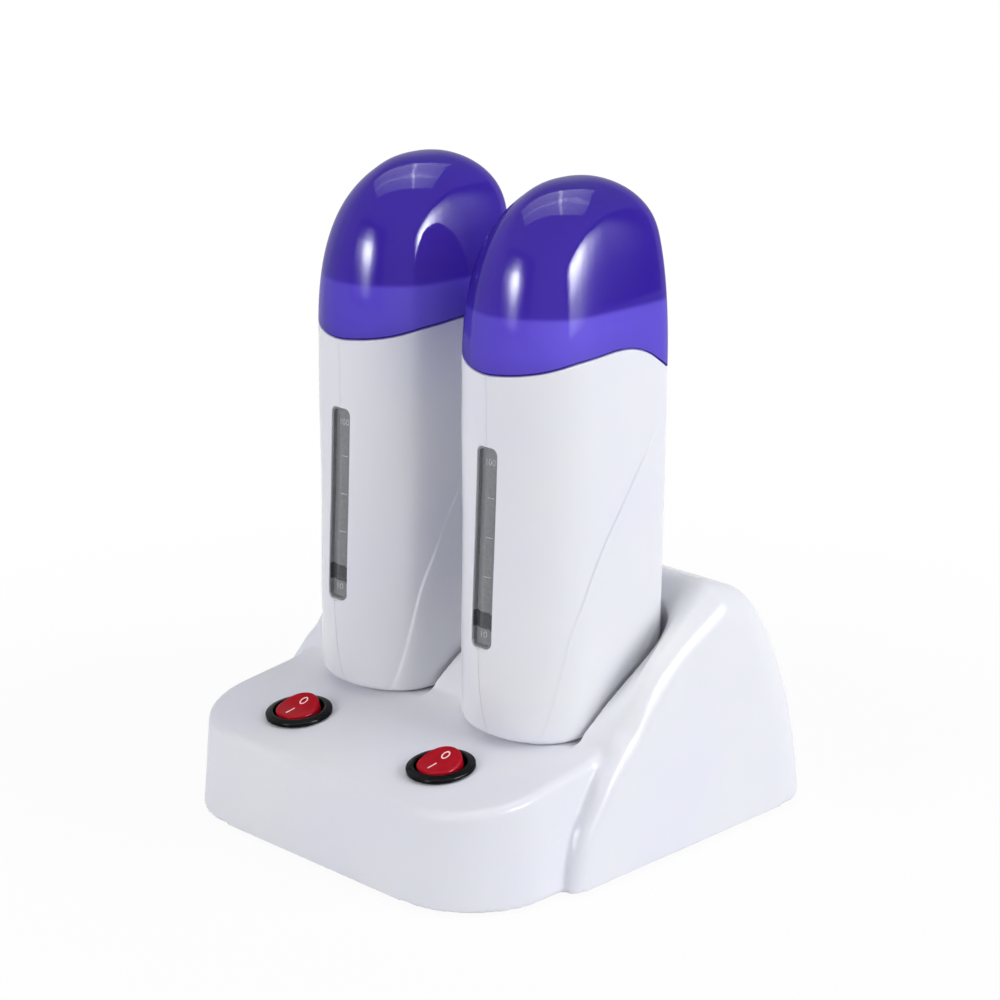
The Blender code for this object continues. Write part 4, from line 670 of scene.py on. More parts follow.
def cap_mesh(name):
    """The cap as one closed form with a rounded rim and a stepped inner wall."""
    bottom = [z + CAP_LIFT for z in seam]
    outer, inner = [], []
    for i in range(RIM_STEPS):
        turn = math.pi / 2 * i / RIM_STEPS
        heights = [z + CAP_RIM * (1 - math.sin(turn)) for z in bottom]
        outer.append(full_ring(heights, CAP_RIM * (1 - math.cos(turn))))
        inner.append(full_ring(heights, SKIRT_WALL - CAP_RIM * (1 - math.cos(turn))))
    outer, inner = outer[::-1], inner[::-1]
    for wall, rings in ((0.0, outer), (SKIRT_WALL, inner)):
        rings.append(full_ring([z + CAP_RIM + CAP_EDGE_FADE for z in bottom], wall))
        for i in range(1, SKIRT_STEPS + 1):
            share = i / SKIRT_STEPS
            heights = [z + CAP_RIM + (SKIRT_TOP - z - CAP_RIM) * share for z in bottom]
            rings.append(full_ring(heights, wall))
    inner.append(full_ring([SKIRT_TOP + SKIRT_BLEND] * len(seam), DOME_WALL))
    outer.append(full_ring([SKIRT_TOP + SKIRT_BLEND] * len(seam), 0.0))
    for wall, rings in ((0.0, outer), (DOME_WALL, inner)):
        start, apex = SKIRT_TOP + SKIRT_BLEND, APEX_HEIGHT - wall
        for i in range(1, DOME_STEPS):
            rise = math.sin(math.pi / 2 * i / DOME_STEPS)
            rings.append(full_ring([start + (apex - start) * rise] * len(seam), wall))
    count = len(outer[0])
    points, faces, starts = [], [], []
    for wall, rings in ((0.0, outer), (DOME_WALL, inner)):
        start = len(points)
        starts.append(start)
        points.extend(point for ring in rings for point in ring)
        points.append((0.0, APEX_SETBACK, APEX_HEIGHT - wall))
        for k in range(len(rings) - 1):
            bridge(faces, start + k * count, start + (k + 1) * count, count)
        last = start + (len(rings) - 1) * count
        for i in range(count):
            faces.append((last + i, last + (i + 1) % count, len(points) - 1))
    bridge(faces, starts[0], starts[1], count)
    return mesh_of(name, points, faces)


# Violet styrene from a polished mould. Each wall is one thin sheet: light that reaches its
# face is thrown back or let through in deep violet blue, and it leaves the far face freely.
# So the dome glows evenly, and the thinner skirt over the collar is paler. Part of that paleness is
# painted light: the white collar's light, coming back through the thin skirt, is painted into the
# skirt's colour. The paleness is also graded along Y, SKIRT_NOSE_SHARE of it at the nose and all of
# it from the flanks on. That grading is painted light, for the flanks catching more light than the
# nose.
BAND_ABOVE, BAND_BELOW = 1.3 * MM, 0.7 * MM
SKIRT_NOSE_Y, SKIRT_FLANK_Y = -42 * MM, -18 * MM
SKIRT_NOSE_SHARE = 0.55
violet_styrene, tree = start_material("violet_styrene")
where = add(tree, "TexCoord").outputs["Object"]
along = add(tree, "SeparateXYZ", (), {"Vector": where})
height = along.outputs["Z"]
band_top = places["right"].z + COLLAR_TOP
# The skirt band is paler: partly the thinner wall, and partly painted light from the white collar
# behind it.
skirt = add(tree, "MapRange", {"interpolation_type": "SMOOTHSTEP"}, {
    "Value": height, "From Min": band_top + BAND_ABOVE, "From Max": band_top - BAND_BELOW})
# Painted light: the skirt is paler on the flanks than at the nose, because the flanks catch more
# light.
flank_painted_light = add(tree, "MapRange", {"interpolation_type": "SMOOTHSTEP"}, {
    "Value": along.outputs["Y"], "From Min": SKIRT_NOSE_Y, "From Max": SKIRT_FLANK_Y,
    "To Min": SKIRT_NOSE_SHARE, "To Max": 1.0})
skirt = add(tree, "Math", {"operation": "MULTIPLY"}, {
    0: skirt.outputs[0], 1: flank_painted_light.outputs[0]})
cloud = add(tree, "TexNoise", (), {"Vector": where, "Scale": 1 / (30 * MM), "Detail": 1.0})
dome_tone = shades(tree, cloud.outputs["Fac"], (0.3, "#3A279D"), (0.7, "#402CA9"))
skirt_tone = shades(tree, cloud.outputs["Fac"], (0.3, "#7160E6"), (0.7, "#7966EE"))
tone = add(tree, "Mix", {"data_type": "RGBA"}, {
    "Factor": skirt.outputs[0], 6: dome_tone, 7: skirt_tone}).outputs[2]
passed = add(tree, "Mix", {"data_type": "RGBA"}, {
    "Factor": skirt.outputs[0], 6: linear("#8E70E4"), 7: linear("#B2A2FA")}).outputs[2]
# Deeper violet where the wall is seen at a glancing angle, through more plastic, and on the cap's
# rounded bottom rim. On the rim that dark line is partly the wall's thick edge and partly painted
# shade of the gap at the seam.
rim = add(tree, "LayerWeight", (), {"Blend": 0.25}).outputs["Facing"]
edge_on = add(tree, "Math", {"operation": "MAXIMUM"}, {
    0: rim, 1: add(tree, "Attribute", {"attribute_name": "edge_share"}).outputs["Fac"]})
deep = add(tree, "Mix", {"data_type": "RGBA"}, {
    "Factor": edge_on.outputs[0], 6: tone, 7: linear("#1C1080")}).outputs[2]
passed = add(tree, "Mix", {"data_type": "RGBA"}, {
    "Factor": edge_on.outputs[0], 6: passed, 7: linear("#34208A")}).outputs[2]
rough = add(tree, "MapRange", (), {"Value": cloud.outputs["Fac"], "To Min": 0.04, "To Max": 0.06})
skin = add(tree, "BsdfPrincipled", (), {
    "Base Color": deep, "Roughness": rough.outputs[0], "IOR": 1.47, "Specular IOR Level": 0.22})
scatter = add(tree, "BsdfTranslucent", (), {"Color": passed})
clear = add(tree, "BsdfTransparent", (), {"Color": passed})
let_through = add(tree, "MixShader", (), {
    0: 0.15, 1: scatter.outputs["BSDF"], 2: clear.outputs["BSDF"]})
sheet = add(tree, "MixShader", (), {
    0: 0.55, 1: skin.outputs["BSDF"], 2: let_through.outputs["Shader"]})
free = add(tree, "BsdfTransparent", (), {"Color": (1, 1, 1, 1)})
wall = add(tree, "MixShader", (), {
    0: add(tree, "NewGeometry").outputs["Backfacing"],
    1: sheet.outputs["Shader"], 2: free.outputs["BSDF"]})
add(tree, "OutputMaterial", (), {"Surface": wall.outputs["Shader"]})

cap = cap_mesh("cap")
# Marks the cap's rounded bottom rim, which the material paints deep violet: partly the thick edge,
# partly painted shade of the gap at the seam.
edge = cap.attributes.new("edge_share", "FLOAT", "POINT")
for vert in cap.vertices:
    above = vert.co.z - seam_height(vert.co.y) - CAP_LIFT
    edge.data[vert.index].value = 1.0 if above < CAP_RIM + HAIR else 0.0
for side in ("left", "right"):
    piece("heater_%s_dome_cap" % side, moved(cap.copy(), places[side]),
          violet_styrene, "cap_" + side, "violet_clear_plastic", "heater_%s_cap" % side)


# Collars: the white ring that closes each body's mouth, holds the well and seats the cap.
# Moulded ABS with a fine spark-eroded surface that takes the shine off.
COLLAR_SKIRT = 12.5 * MM
COLLAR_INSET = SHELL_WALL + 0.30 * MM
COLLAR_WALL = 1.2 * MM
COLLAR_PLATE = 2.0 * MM
COLLAR_LIP = 6.5 * MM
COLLAR_LIP_WALL = 1.5 * MM
COLLAR_EDGE = 0.8 * MM
WELL_SIDE_AIR = 5.6 * MM
WELL_NOSE_AIR = 1.2 * MM
WELL_WALL = 1.0 * MM
WELL_POWER = 2.4
well_half_x = HALF_THICKNESS - SHELL_WALL - WELL_SIDE_AIR
well_inset = COLLAR_INSET + COLLAR_WALL + 0.9 * MM
well_front = FRONT_REACH * front_line[-1][1] - well_inset - WELL_NOSE_AIR
well_rear = REAR_REACH - well_inset
well_y, well_half_y = (well_rear - well_front) / 2, (well_rear + well_front) / 2


def oval_ring(grow, level):
    """Ring of the well's oval, with as many points as the outline and in step with it."""
    ring = []
    for x, y, _ in full_ring([BODY_HEIGHT - SHOULDER_HEIGHT] * len(seam), 0.0):
        angle = math.atan2(y - well_y, x)
        across, along = abs(math.cos(angle)), abs(math.sin(angle))
        reach = ((across / (well_half_x + grow)) ** WELL_POWER
                 + (along / (well_half_y + grow)) ** WELL_POWER) ** (-1 / WELL_POWER)
        ring.append((reach * math.cos(angle), well_y + reach * math.sin(angle), level))
    return ring


def collar_mesh(name):
    """The collar's cross-section carried round the heater."""
    bottom, lip = BODY_HEIGHT - COLLAR_SKIRT, COLLAR_TOP - COLLAR_LIP
    rings = [full_ring([level] * len(seam), COLLAR_INSET)
             for level in (bottom, BODY_HEIGHT, COLLAR_TOP - COLLAR_EDGE)]
    for i in range(1, 5):
        turn = math.pi / 2 * i / 4
        rings.append(full_ring([COLLAR_TOP - COLLAR_EDGE * (1 - math.sin(turn))] * len(seam),
                               COLLAR_INSET + COLLAR_EDGE * (1 - math.cos(turn))))
    rings.append(oval_ring(COLLAR_EDGE - WELL_WALL, COLLAR_TOP))
    rings.append(oval_ring(COLLAR_EDGE / 3 - WELL_WALL, COLLAR_TOP - COLLAR_EDGE / 3))
    rings.append(oval_ring(-WELL_WALL, COLLAR_TOP - COLLAR_EDGE))
    rings.append(oval_ring(-WELL_WALL, lip))
    rings.append(oval_ring(COLLAR_LIP_WALL - WELL_WALL, lip))
    rings.append(oval_ring(COLLAR_LIP_WALL - WELL_WALL, COLLAR_TOP - COLLAR_PLATE))
    for level in (COLLAR_TOP - COLLAR_PLATE, bottom):
        rings.append(full_ring([level] * len(seam), COLLAR_INSET + COLLAR_WALL))
    return loft(name, rings, closed_loop=True)


satin_white_abs = grained("satin_white_abs", "#E4E5E9", "#EDEEF0", 0.40, 0.52, 0.35 * MM, 2.0,
                          {"IOR": 1.52}, relief=(0.12, 0.03 * MM))

collar = collar_mesh("collar")
for side in ("left", "right"):
    piece("heater_%s_white_collar" % side, moved(collar.copy(), places[side]),
          satin_white_abs, "heater_" + side, "white_inner_plastic", "heater_%s_collar" % side)


# Base housing: one ABS moulding with a low rounded front for the switches and a hump behind,
# cut by the two pockets that the heaters stand in. Its corners are softened by the mould.
BASE_DEPTH = 168.4 * MM
BASE_HALF_WIDTH = 80.0 * MM
BASE_WALL = 2.6 * MM
BASE_DRAFT = 3.0 * MM
HUMP_HEIGHT = 84.2 * MM
HUMP_CORNER = 24.0 * MM
FLANK_STEP = 4.9 * MM
DECK_HEIGHT = 31.77 * MM
DECK_TILT = math.radians(7.0)
DECK_EDGE = 2.6 * MM
DECK_DROP = 1.8 * MM
DECK_EDGE_POWER = 2.2
DECK_DRAFT = 2.6 * MM
DECK_CORNER = 32.0 * MM
SHOULDER_RISE = 21.0 * MM
SHOULDER_CREST = 5.0 * MM
CRADLE_AIR = 0.8 * MM
RIB_WIDTH = 17.4 * MM
HEATER_SETBACK = 43.1 * MM
hump_line = (
    (0.242, 0.000, 0.000, 0.21), (0.255, 0.110, 0.000, 0.21), (0.277, 0.226, 0.000, 0.21),
    (0.312, 0.323, 0.000, 0.22), (0.342, 0.406, 0.000, 0.24), (0.369, 0.470, 0.000, 0.27),
    (0.391, 0.518, 0.002, 0.30), (0.418, 0.556, 0.006, 0.32), (0.451, 0.600, 0.023, 0.33),
    (0.496, 0.651, 0.050, 0.34), (0.542, 0.700, 0.076, 0.36), (0.588, 0.752, 0.098, 0.38),
    (0.614, 0.788, 0.104, 0.40), (0.638, 0.846, 0.090, 0.43), (0.656, 0.915, 0.046, 0.47),
    (0.671, 0.968, 0.012, 0.51), (0.692, 1.000, 0.000, 0.54), (0.724, 0.990, 0.000, 0.54),
    (0.760, 0.962, 0.000, 0.54), (0.796, 0.926, 0.000, 0.58), (0.837, 0.853, 0.000, 0.66),
    (0.873, 0.766, 0.000, 0.74), (0.911, 0.647, 0.000, 0.84), (0.941, 0.546, 0.000, 0.94),
    (0.962, 0.451, 0.000, 1.00), (0.977, 0.333, 0.000, 1.00), (0.988, 0.214, 0.000, 1.00),
    (0.996, 0.095, 0.000, 1.00), (1.000, 0.000, 0.000, 1.00))
deck_rise = (
    (0.315, 0.455), (0.340, 0.464), (0.364, 0.479), (0.390, 0.500), (0.420, 0.518),
    (0.452, 0.530))
base_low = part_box("base_shell")[0]
base_place = Vector((0.0, base_low.y, base_low.z))
LINE_STEPS, STATIONS, PLAN_STEPS, ARC_STEPS = 4, 22, 20, 9
OVERRUN = 20 * MM


def hump_profile():
    """The hump's side line with its flank shift and end rounding, sampled evenly."""
    columns = [[(i, row[c]) for i, row in enumerate(hump_line)] for c in range(4)]
    last = len(hump_line) - 1
    return [[through(column, i / LINE_STEPS) for column in columns]
            for i in range(last * LINE_STEPS + 1)]


def hump_body(inset, below):
    """The hump with both flanks: a side profile carried across with rounded ends."""
    rows = hump_profile()
    rows = [[rows[0][0], -below / HUMP_HEIGHT, 0.0, rows[0][3]]] + rows
    rows += [[rows[-1][0], -below / HUMP_HEIGHT, 0.0, rows[-1][3]]]
    radii = [max(row[3] * HUMP_CORNER - inset, HAIR) for row in rows]
    half = BASE_HALF_WIDTH - inset
    stations = [half - max(radii) * (1 - math.sin(math.pi / 2 * i / STATIONS))
                for i in range(STATIONS + 1)]
    rings = []
    for x in [-s for s in reversed(stations)] + stations:
        outward = (abs(x) - half + SHOULDER_RISE) / (SHOULDER_RISE - SHOULDER_CREST)
        outward = min(max(outward, 0.0), 1.0)
        blend = outward * outward * (3 - 2 * outward)
        profile = [((row[0] - row[2] * blend) * BASE_DEPTH, row[1] * HUMP_HEIGHT) for row in rows]
        ring, last = [], len(profile) - 1
        for i, (y, z) in enumerate(profile):
            run = min(max((abs(x) - half + radii[i]) / radii[i], 0.0), 1.0)
            depth = inset + radii[i] * (1 - math.sqrt(1 - run * run))
            before, after = profile[max(i - 1, 0)], profile[min(i + 1, last)]
            along = Vector((after[0] - before[0], after[1] - before[1])).normalized()
            normal = (along[1], -along[0])
            if i in (0, last):
                normal = (1.0 if i == 0 else -1.0, 0.0)
            y, z = y + normal[0] * depth, z + normal[1] * depth
            ring.append((x * (1 - BASE_DRAFT / half * z / HUMP_HEIGHT), y, z))
        rings.append(ring)
    return loft("hump_body", rings)


def deck_height(y):
    """Height of the sloping deck at a distance from the front wall."""
    return DECK_HEIGHT + y * math.tan(DECK_TILT)


def deck_surface(y):
    """Height of the deck and of its rise into the hump."""
    first = deck_rise[0][0] * BASE_DEPTH
    if y <= first:
        return deck_height(y)
    lift = deck_height(first) - deck_rise[0][1] * HUMP_HEIGHT
    return through(deck_rise, y / BASE_DEPTH) * HUMP_HEIGHT + lift


def deck_plan(inset):
    """Right half of the deck's plan, from front centre to rear centre."""
    side = BASE_HALF_WIDTH - FLANK_STEP - inset
    turn_from = BASE_HALF_WIDTH - FLANK_STEP - DECK_CORNER
    plan = [(0.0, inset)]
    for i in range(PLAN_STEPS + 1):
        turn = math.pi / 2 * i / PLAN_STEPS
        radius = DECK_CORNER - inset
        plan.append((turn_from + radius * math.sin(turn), DECK_CORNER - radius * math.cos(turn)))
    rear = deck_rise[-1][0] * BASE_DEPTH
    for i in range(1, PLAN_STEPS + 1):
        plan.append((side, DECK_CORNER + (rear - DECK_CORNER) * i / PLAN_STEPS))
    return plan + [(0.0, rear)]


def deck_body(inset, below):
    """Low front body: rounded plan, drafted walls and a rounded edge round the deck."""
    edge, drop = DECK_EDGE - inset, DECK_DROP
    layers = []
    for level in (-below, 0.0):
        slack = DECK_DRAFT * level / DECK_HEIGHT
        layers.append([(x, y, level) for x, y in deck_plan(inset + slack)])
    for i in range(ARC_STEPS + 1):
        inward = edge * i / ARC_STEPS
        down = drop * (1 - i / ARC_STEPS) ** DECK_EDGE_POWER
        layer = []
        for n, (_, y) in enumerate(deck_plan(inset)):
            z = deck_surface(y) - inset - down
            x, y = deck_plan(inset + inward + DECK_DRAFT * z / DECK_HEIGHT)[n]
            layer.append((x, y, z))
        layers.append(layer)
    rings = [layer + [(-x, y, z) for x, y, z in reversed(layer[1:-1])] for layer in layers]
    count, half = len(rings[0]), len(layers[0])
    points = [point for ring in rings for point in ring]
    faces = [tuple(reversed(range(count)))]
    for k in range(len(rings) - 1):
        bridge(faces, k * count, (k + 1) * count, count)
    top = len(points) - count
    for i in range(1, half - 2):
        strip = [top + i, top + i + 1, top + count - i - 1, top + count - i]
        if i == 1:
            strip.append(top)
        if i == half - 3:
            strip.insert(2, top + half - 1)
        faces.append(tuple(strip))
    return mesh_of("deck_body", points, faces)


def block(low, high):
    """A plain cutting block between two corners."""
    plan = [(low[0], low[1]), (high[0], low[1]), (high[0], high[1]), (low[0], high[1])]
    return loft("block", [[(x, y, z) for x, y in plan] for z in (low[2], high[2])])


def turned(profile, steps=64, closed_loop=False):
    """A round form on the Z axis from (radius, height) points."""
    turns = [2 * math.pi * i / steps for i in range(steps)]
    rings = [[(r * math.cos(a), r * math.sin(a), z) for a in turns] for r, z in profile]
    return loft("turned", rings, closed_loop)


def cradle(grow, bottom):
    """Upright pocket that a heater stands in, open towards the front."""
    half = HALF_THICKNESS + CRADLE_AIR + grow
    front, rear = -FRONT_REACH - CRADLE_AIR - grow, REAR_REACH + CRADLE_AIR + grow
    corner = REAR_CORNER + CRADLE_AIR + grow
    plan = [(-half, front), (half, front)]
    for i in range(ARC_STEPS + 1):
        turn = math.pi / 2 * i / ARC_STEPS
        plan.append((half - corner * (1 - math.cos(turn)), rear - corner * (1 - math.sin(turn))))
    for i in range(ARC_STEPS + 1):
        turn = math.pi / 2 * i / ARC_STEPS
        plan.append((-half + corner * (1 - math.sin(turn)), rear - corner * (1 - math.cos(turn))))
    return loft("cradle", [[(x, y, z) for x, y in plan] for z in (bottom, HUMP_HEIGHT + OVERRUN)])


def base_form(inset, below):
    """The base's outer form moved inwards and cut level below."""
    both = boolean(deck_body(inset, below + OVERRUN), "UNION",
                   hump_body(inset, below + 2 * OVERRUN))
    keep = block((-BASE_HALF_WIDTH - OVERRUN, -OVERRUN, -below),
                 (BASE_HALF_WIDTH + OVERRUN, BASE_DEPTH + OVERRUN, HUMP_HEIGHT + OVERRUN))
    return boolean(both, "INTERSECT", keep)


HEATER_X = HALF_THICKNESS + CRADLE_AIR + RIB_WIDTH / 2
HEATER_Y = HEATER_SETBACK + FRONT_REACH
CRADLE_FLOOR = deck_height(HEATER_SETBACK + NOSE_LENGTH)
SWITCH_SETBACK = 26.3 * MM
BARREL_RADIUS = 9.9 * MM
DOCK_HALF_X, DOCK_HALF_Y = 6.3 * MM, 13.3 * MM
GLAND_RADIUS = 6.0 * MM
BOSS_RADIUS = 4.2 * MM
PLATE_TOP = 3.4 * MM
# The walls inside are drawn thicker than the moulding's BASE_WALL: the remesh below needs several
# voxels across a wall, and tears a thinner one open on the slopes of the shoulders.
POCKET_WALL = BASE_WALL + 1.6 * MM
SHOULDER_WALL = BASE_WALL + 3.6 * MM
RIM_HEIGHT = 6.0 * MM
HOLE_AIR = 0.3 * MM
SCREW_PLACES = ((61 * MM, 30 * MM), (66 * MM, 125 * MM))
deck_turn = Matrix.Rotation(DECK_TILT, 4, "X")
pockets, pocket_walls, holes, switch_holes, bosses = [], [], [], [], []
for side in (-1, 1):
    pockets.append(moved(cradle(0.0, CRADLE_FLOOR), (side * HEATER_X, HEATER_Y, 0)))
    pocket_walls.append(moved(cradle(POCKET_WALL, CRADLE_FLOOR - POCKET_WALL),
                              (side * HEATER_X, HEATER_Y, 0)))
    hole = turned(((BARREL_RADIUS + HOLE_AIR, -OVERRUN), (BARREL_RADIUS + HOLE_AIR, OVERRUN)))
    switch_holes.append(moved(hole, (side * HEATER_X, SWITCH_SETBACK,
                                     deck_height(SWITCH_SETBACK)), deck_turn))
    holes.append(moved(block((-DOCK_HALF_X, -DOCK_HALF_Y, CRADLE_FLOOR - 2 * BASE_WALL),
                             (DOCK_HALF_X, DOCK_HALF_Y, CRADLE_FLOOR + BASE_WALL)),
                       (side * HEATER_X, HEATER_Y, 0)))
    for x, y in SCREW_PLACES:
        bosses.append(moved(turned(((BOSS_RADIUS, PLATE_TOP), (BOSS_RADIUS, HUMP_HEIGHT)), 24),
                            (side * x, y, 0)))
gland_low, gland_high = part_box("cord_gland")
gland_centre = (gland_low + gland_high) / 2 - base_place
lean = Matrix.Rotation(-math.pi / 2, 4, "X")
holes.append(moved(turned(((GLAND_RADIUS + HOLE_AIR, -OVERRUN / 2),
                           (GLAND_RADIUS + HOLE_AIR, OVERRUN / 2))), gland_centre, lean))

housing = boolean(base_form(0.0, 0.0), "DIFFERENCE", *pockets)
hollow = boolean(base_form(SHOULDER_WALL, OVERRUN), "DIFFERENCE", *pocket_walls, *bosses)
rim = block((-BASE_HALF_WIDTH, 0.0, -OVERRUN), (BASE_HALF_WIDTH, BASE_DEPTH, RIM_HEIGHT))
plate_seat = boolean(base_form(BASE_WALL, OVERRUN), "INTERSECT", rim)
plate_seat = boolean(plate_seat, "DIFFERENCE", *bosses)
housing = boolean(housing, "DIFFERENCE", hollow, plate_seat, *holes)

SOFT_VOXEL = 0.8 * MM
SOFT_ROUNDS = 4


def softened(mesh, voxel, rounds):
    """Remesh a form in even small faces and relax it, so that its corners turn round."""
    holder = bpy.data.objects.new("softened", mesh)
    bpy.context.collection.objects.link(holder)
    remesh = holder.modifiers.new("remesh", "REMESH")
    remesh.mode, remesh.voxel_size, remesh.adaptivity = "VOXEL", voxel, 0.0
    relax = holder.modifiers.new("relax", "SMOOTH")
    relax.factor, relax.iterations = 0.5, rounds
    graph = bpy.context.evaluated_depsgraph_get()
    graph.update()
    made = bpy.data.meshes.new_from_object(holder.evaluated_get(graph))
    bpy.data.objects.remove(holder)
    return made


housing = boolean(softened(housing, SOFT_VOXEL, SOFT_ROUNDS), "DIFFERENCE", *switch_holes)
piece("base_housing", moved(housing, base_place), moulded_white_abs, "base", "white_abs",
      "base_shell", sharp=60)


# Rocker switches: a black nylon bezel clipped into the deck, and a round red rocker that stands
# up on its off side while its front end is pressed. Both are gloss mouldings.
BEZEL_RADIUS = 11.4 * MM
FLANGE_EDGE = 0.55 * MM
BEZEL_HEIGHT = 1.2 * MM
BEZEL_SINK = 0.3 * MM
BEZEL_FLOOR = 9.5 * MM
BARREL_LENGTH = 15.0 * MM
PIVOT_DEPTH = 2.0 * MM
OPENING_RADIUS = 8.7 * MM
ROCKER_RADIUS = 7.5 * MM
ROCKER_WAIST = 2.4 * MM
ROCKER_BELLY = 4.5 * MM
ROCKER_TILT = math.radians(10.0)
ROCKER_SOFTNESS = 0.35 * MM
ROCKER_EDGE = 0.8 * MM
ROUND_STEPS, ROCKER_EDGE_STEPS, ROCKER_FACE_STEPS = 96, 8, 24
CORE_RADIUS = 0.1 * MM
BEZEL_TUCK = 0.3 * MM
BARREL_CHAMFER = 0.6 * MM
FLANGE_ROUND, FLANGE_RISE, FLANGE_STEPS = 0.5 * MM, 0.4 * MM, 7
OPENING_LAND, OPENING_ROUND, OPENING_STEPS = 1.0 * MM, 0.4 * MM, 5


def rocker_top(y):
    """Height of the rocker's dished face at a distance from its middle line."""
    return ROCKER_WAIST + math.hypot(y * math.tan(ROCKER_TILT), ROCKER_SOFTNESS)


def rocker_mesh():
    """The round rocker with its front end down, its face dished across the middle."""
    turns = [2 * math.pi * i / ROUND_STEPS for i in range(ROUND_STEPS)]
    rings = []
    for radius, level in ((CORE_RADIUS, -ROCKER_BELLY), (0.93 * ROCKER_RADIUS, -ROCKER_BELLY),
                          (ROCKER_RADIUS, -0.9 * ROCKER_BELLY)):
        rings.append([(radius * math.cos(a), radius * math.sin(a), level) for a in turns])
    face = []
    for i in range(ROCKER_EDGE_STEPS + 1):
        turn = math.pi / 2 * i / ROCKER_EDGE_STEPS
        face.append((ROCKER_RADIUS - ROCKER_EDGE * (1 - math.cos(turn)),
                     ROCKER_EDGE * (1 - math.sin(turn))))
    inside = ROCKER_RADIUS - ROCKER_EDGE
    face += [(inside * (1 - i / ROCKER_FACE_STEPS), 0.0) for i in range(1, ROCKER_FACE_STEPS)]
    for radius, drop in face:
        rings.append([(radius * math.cos(a), radius * math.sin(a),
                       rocker_top(radius * math.sin(a)) - drop) for a in turns])
    return moved(loft("rocker", rings), (0, 0, 0), Matrix.Rotation(ROCKER_TILT, 4, "X"))


def bezel_mesh():
    """Barrel, nearly flat flange and round opening of the switch, turned in one profile."""
    top, low = BEZEL_SINK + BEZEL_HEIGHT, -BEZEL_TUCK
    profile = [(CORE_RADIUS, BEZEL_SINK - BARREL_LENGTH),
               (BARREL_RADIUS - BARREL_CHAMFER, BEZEL_SINK - BARREL_LENGTH),
               (BARREL_RADIUS, BEZEL_SINK - BARREL_LENGTH + BARREL_CHAMFER),
               (BARREL_RADIUS, low), (BEZEL_RADIUS, low), (BEZEL_RADIUS, FLANGE_EDGE)]
    for i in range(1, FLANGE_STEPS + 1):
        turn = math.pi / 2 * i / FLANGE_STEPS
        profile.append((BEZEL_RADIUS - FLANGE_ROUND * (1 - math.cos(turn)),
                        FLANGE_EDGE + FLANGE_RISE * math.sin(turn)))
    profile.append((OPENING_RADIUS + OPENING_LAND, top))
    for i in range(OPENING_STEPS + 1):
        turn = math.pi / 2 * i / OPENING_STEPS
        profile.append((OPENING_RADIUS + OPENING_ROUND * (1 - math.sin(turn)),
                        top - OPENING_ROUND * (1 - math.cos(turn))))
    profile += [(OPENING_RADIUS, top - BEZEL_FLOOR), (CORE_RADIUS, top - BEZEL_FLOOR)]
    return turned(profile, ROUND_STEPS)


# Nylon with a polished face: black with the faint haze that handling leaves. As on the white
# ABS, the specular level here and on the red is far below the real one, for the bright cards.
gloss_black_nylon = grained("gloss_black_nylon", "#0B0C0E", "#131417", 0.09, 0.14, 6 * MM, 4.0,
                            {"IOR": 1.45, "Specular IOR Level": 0.06})

# Red polycarbonate rocker: saturated and slightly see-through, so its edges glow
red_polycarbonate = grained("red_polycarbonate", "#A90D1E", "#B41224", 0.16, 0.28, 4 * MM, 3.0, {
    "IOR": 1.45, "Specular IOR Level": 0.04, "Subsurface Weight": 0.15,
    "Subsurface Radius": (1.0, 0.2, 0.15), "Subsurface Scale": 0.6 * MM})

# Pad-printed marks on the rockers: thin matt ink, pinkish where the red shows through
printed_mark_ink = grained("printed_mark_ink", "#F2C9CC", "#FBE6E6", 0.45, 0.60, 0.4 * MM, 2.0,
                           {"IOR": 1.5})

INK = 0.05 * MM
MARK_LINE = 0.45 * MM
ON_LENGTH = 3.8 * MM
OFF_HALF_X, OFF_HALF_Y = 1.35 * MM, 1.75 * MM
MARK_PLACE = 3.2 * MM


def mark_mesh(rings, closed_loop):
    """Printed mark from (x, y, lift) rings that lie on the rocker's face."""
    return loft("mark", [[(x, y, rocker_top(y) + lift) for x, y, lift in ring] for ring in rings],
                closed_loop)


def on_mark():
    """Bar that means on, as a thin frame of rings along its length."""
    rings = []
    for i in range(9):
        y = -MARK_PLACE + ON_LENGTH * (i / 8 - 0.5)
        rings.append([(side * MARK_LINE / 2, y, lift) for side, lift in (
            (-1, -INK), (1, -INK), (1, INK), (-1, INK))])
    return mark_mesh(rings, False)


def off_mark():
    """Oval ring that means off."""
    turns = [2 * math.pi * i / 48 for i in range(48)]
    return mark_mesh([[((OFF_HALF_X + grow) * math.cos(a),
                        MARK_PLACE + (OFF_HALF_Y + grow) * math.sin(a), lift) for a in turns]
                      for grow, lift in ((0, -INK), (0, INK), (-MARK_LINE, INK),
                                         (-MARK_LINE, -INK))], True)


joints = {joint["name"]: joint for joint in frame["record"]["behaviour"]["joints"]}
bezel, rocker = bezel_mesh(), rocker_mesh()
pressed = Matrix.Rotation(ROCKER_TILT, 4, "X")
for side in ("left", "right"):
    pivot = Vector(joints["rocker_%s_tilt" % side]["pos_m"])
    rise = BEZEL_SINK + BEZEL_HEIGHT - PIVOT_DEPTH
    deck_point = pivot - deck_turn @ Vector((0, 0, rise))
    piece("switch_%s_bezel" % side, moved(bezel.copy(), deck_point, deck_turn),
          gloss_black_nylon, "base", "black_plastic", "switch_%s_body" % side, sharp=50)
    piece("switch_%s_red_rocker" % side, moved(rocker.copy(), pivot, deck_turn),
          red_polycarbonate, "rocker_" + side, "red_plastic", "switch_%s_rocker" % side, sharp=60)
    for name, mesh in (("on", on_mark()), ("off", off_mark())):
        piece("switch_%s_mark_%s" % (side, name), moved(mesh, pivot, deck_turn @ pressed),
              printed_mark_ink, "rocker_" + side, "red_plastic")


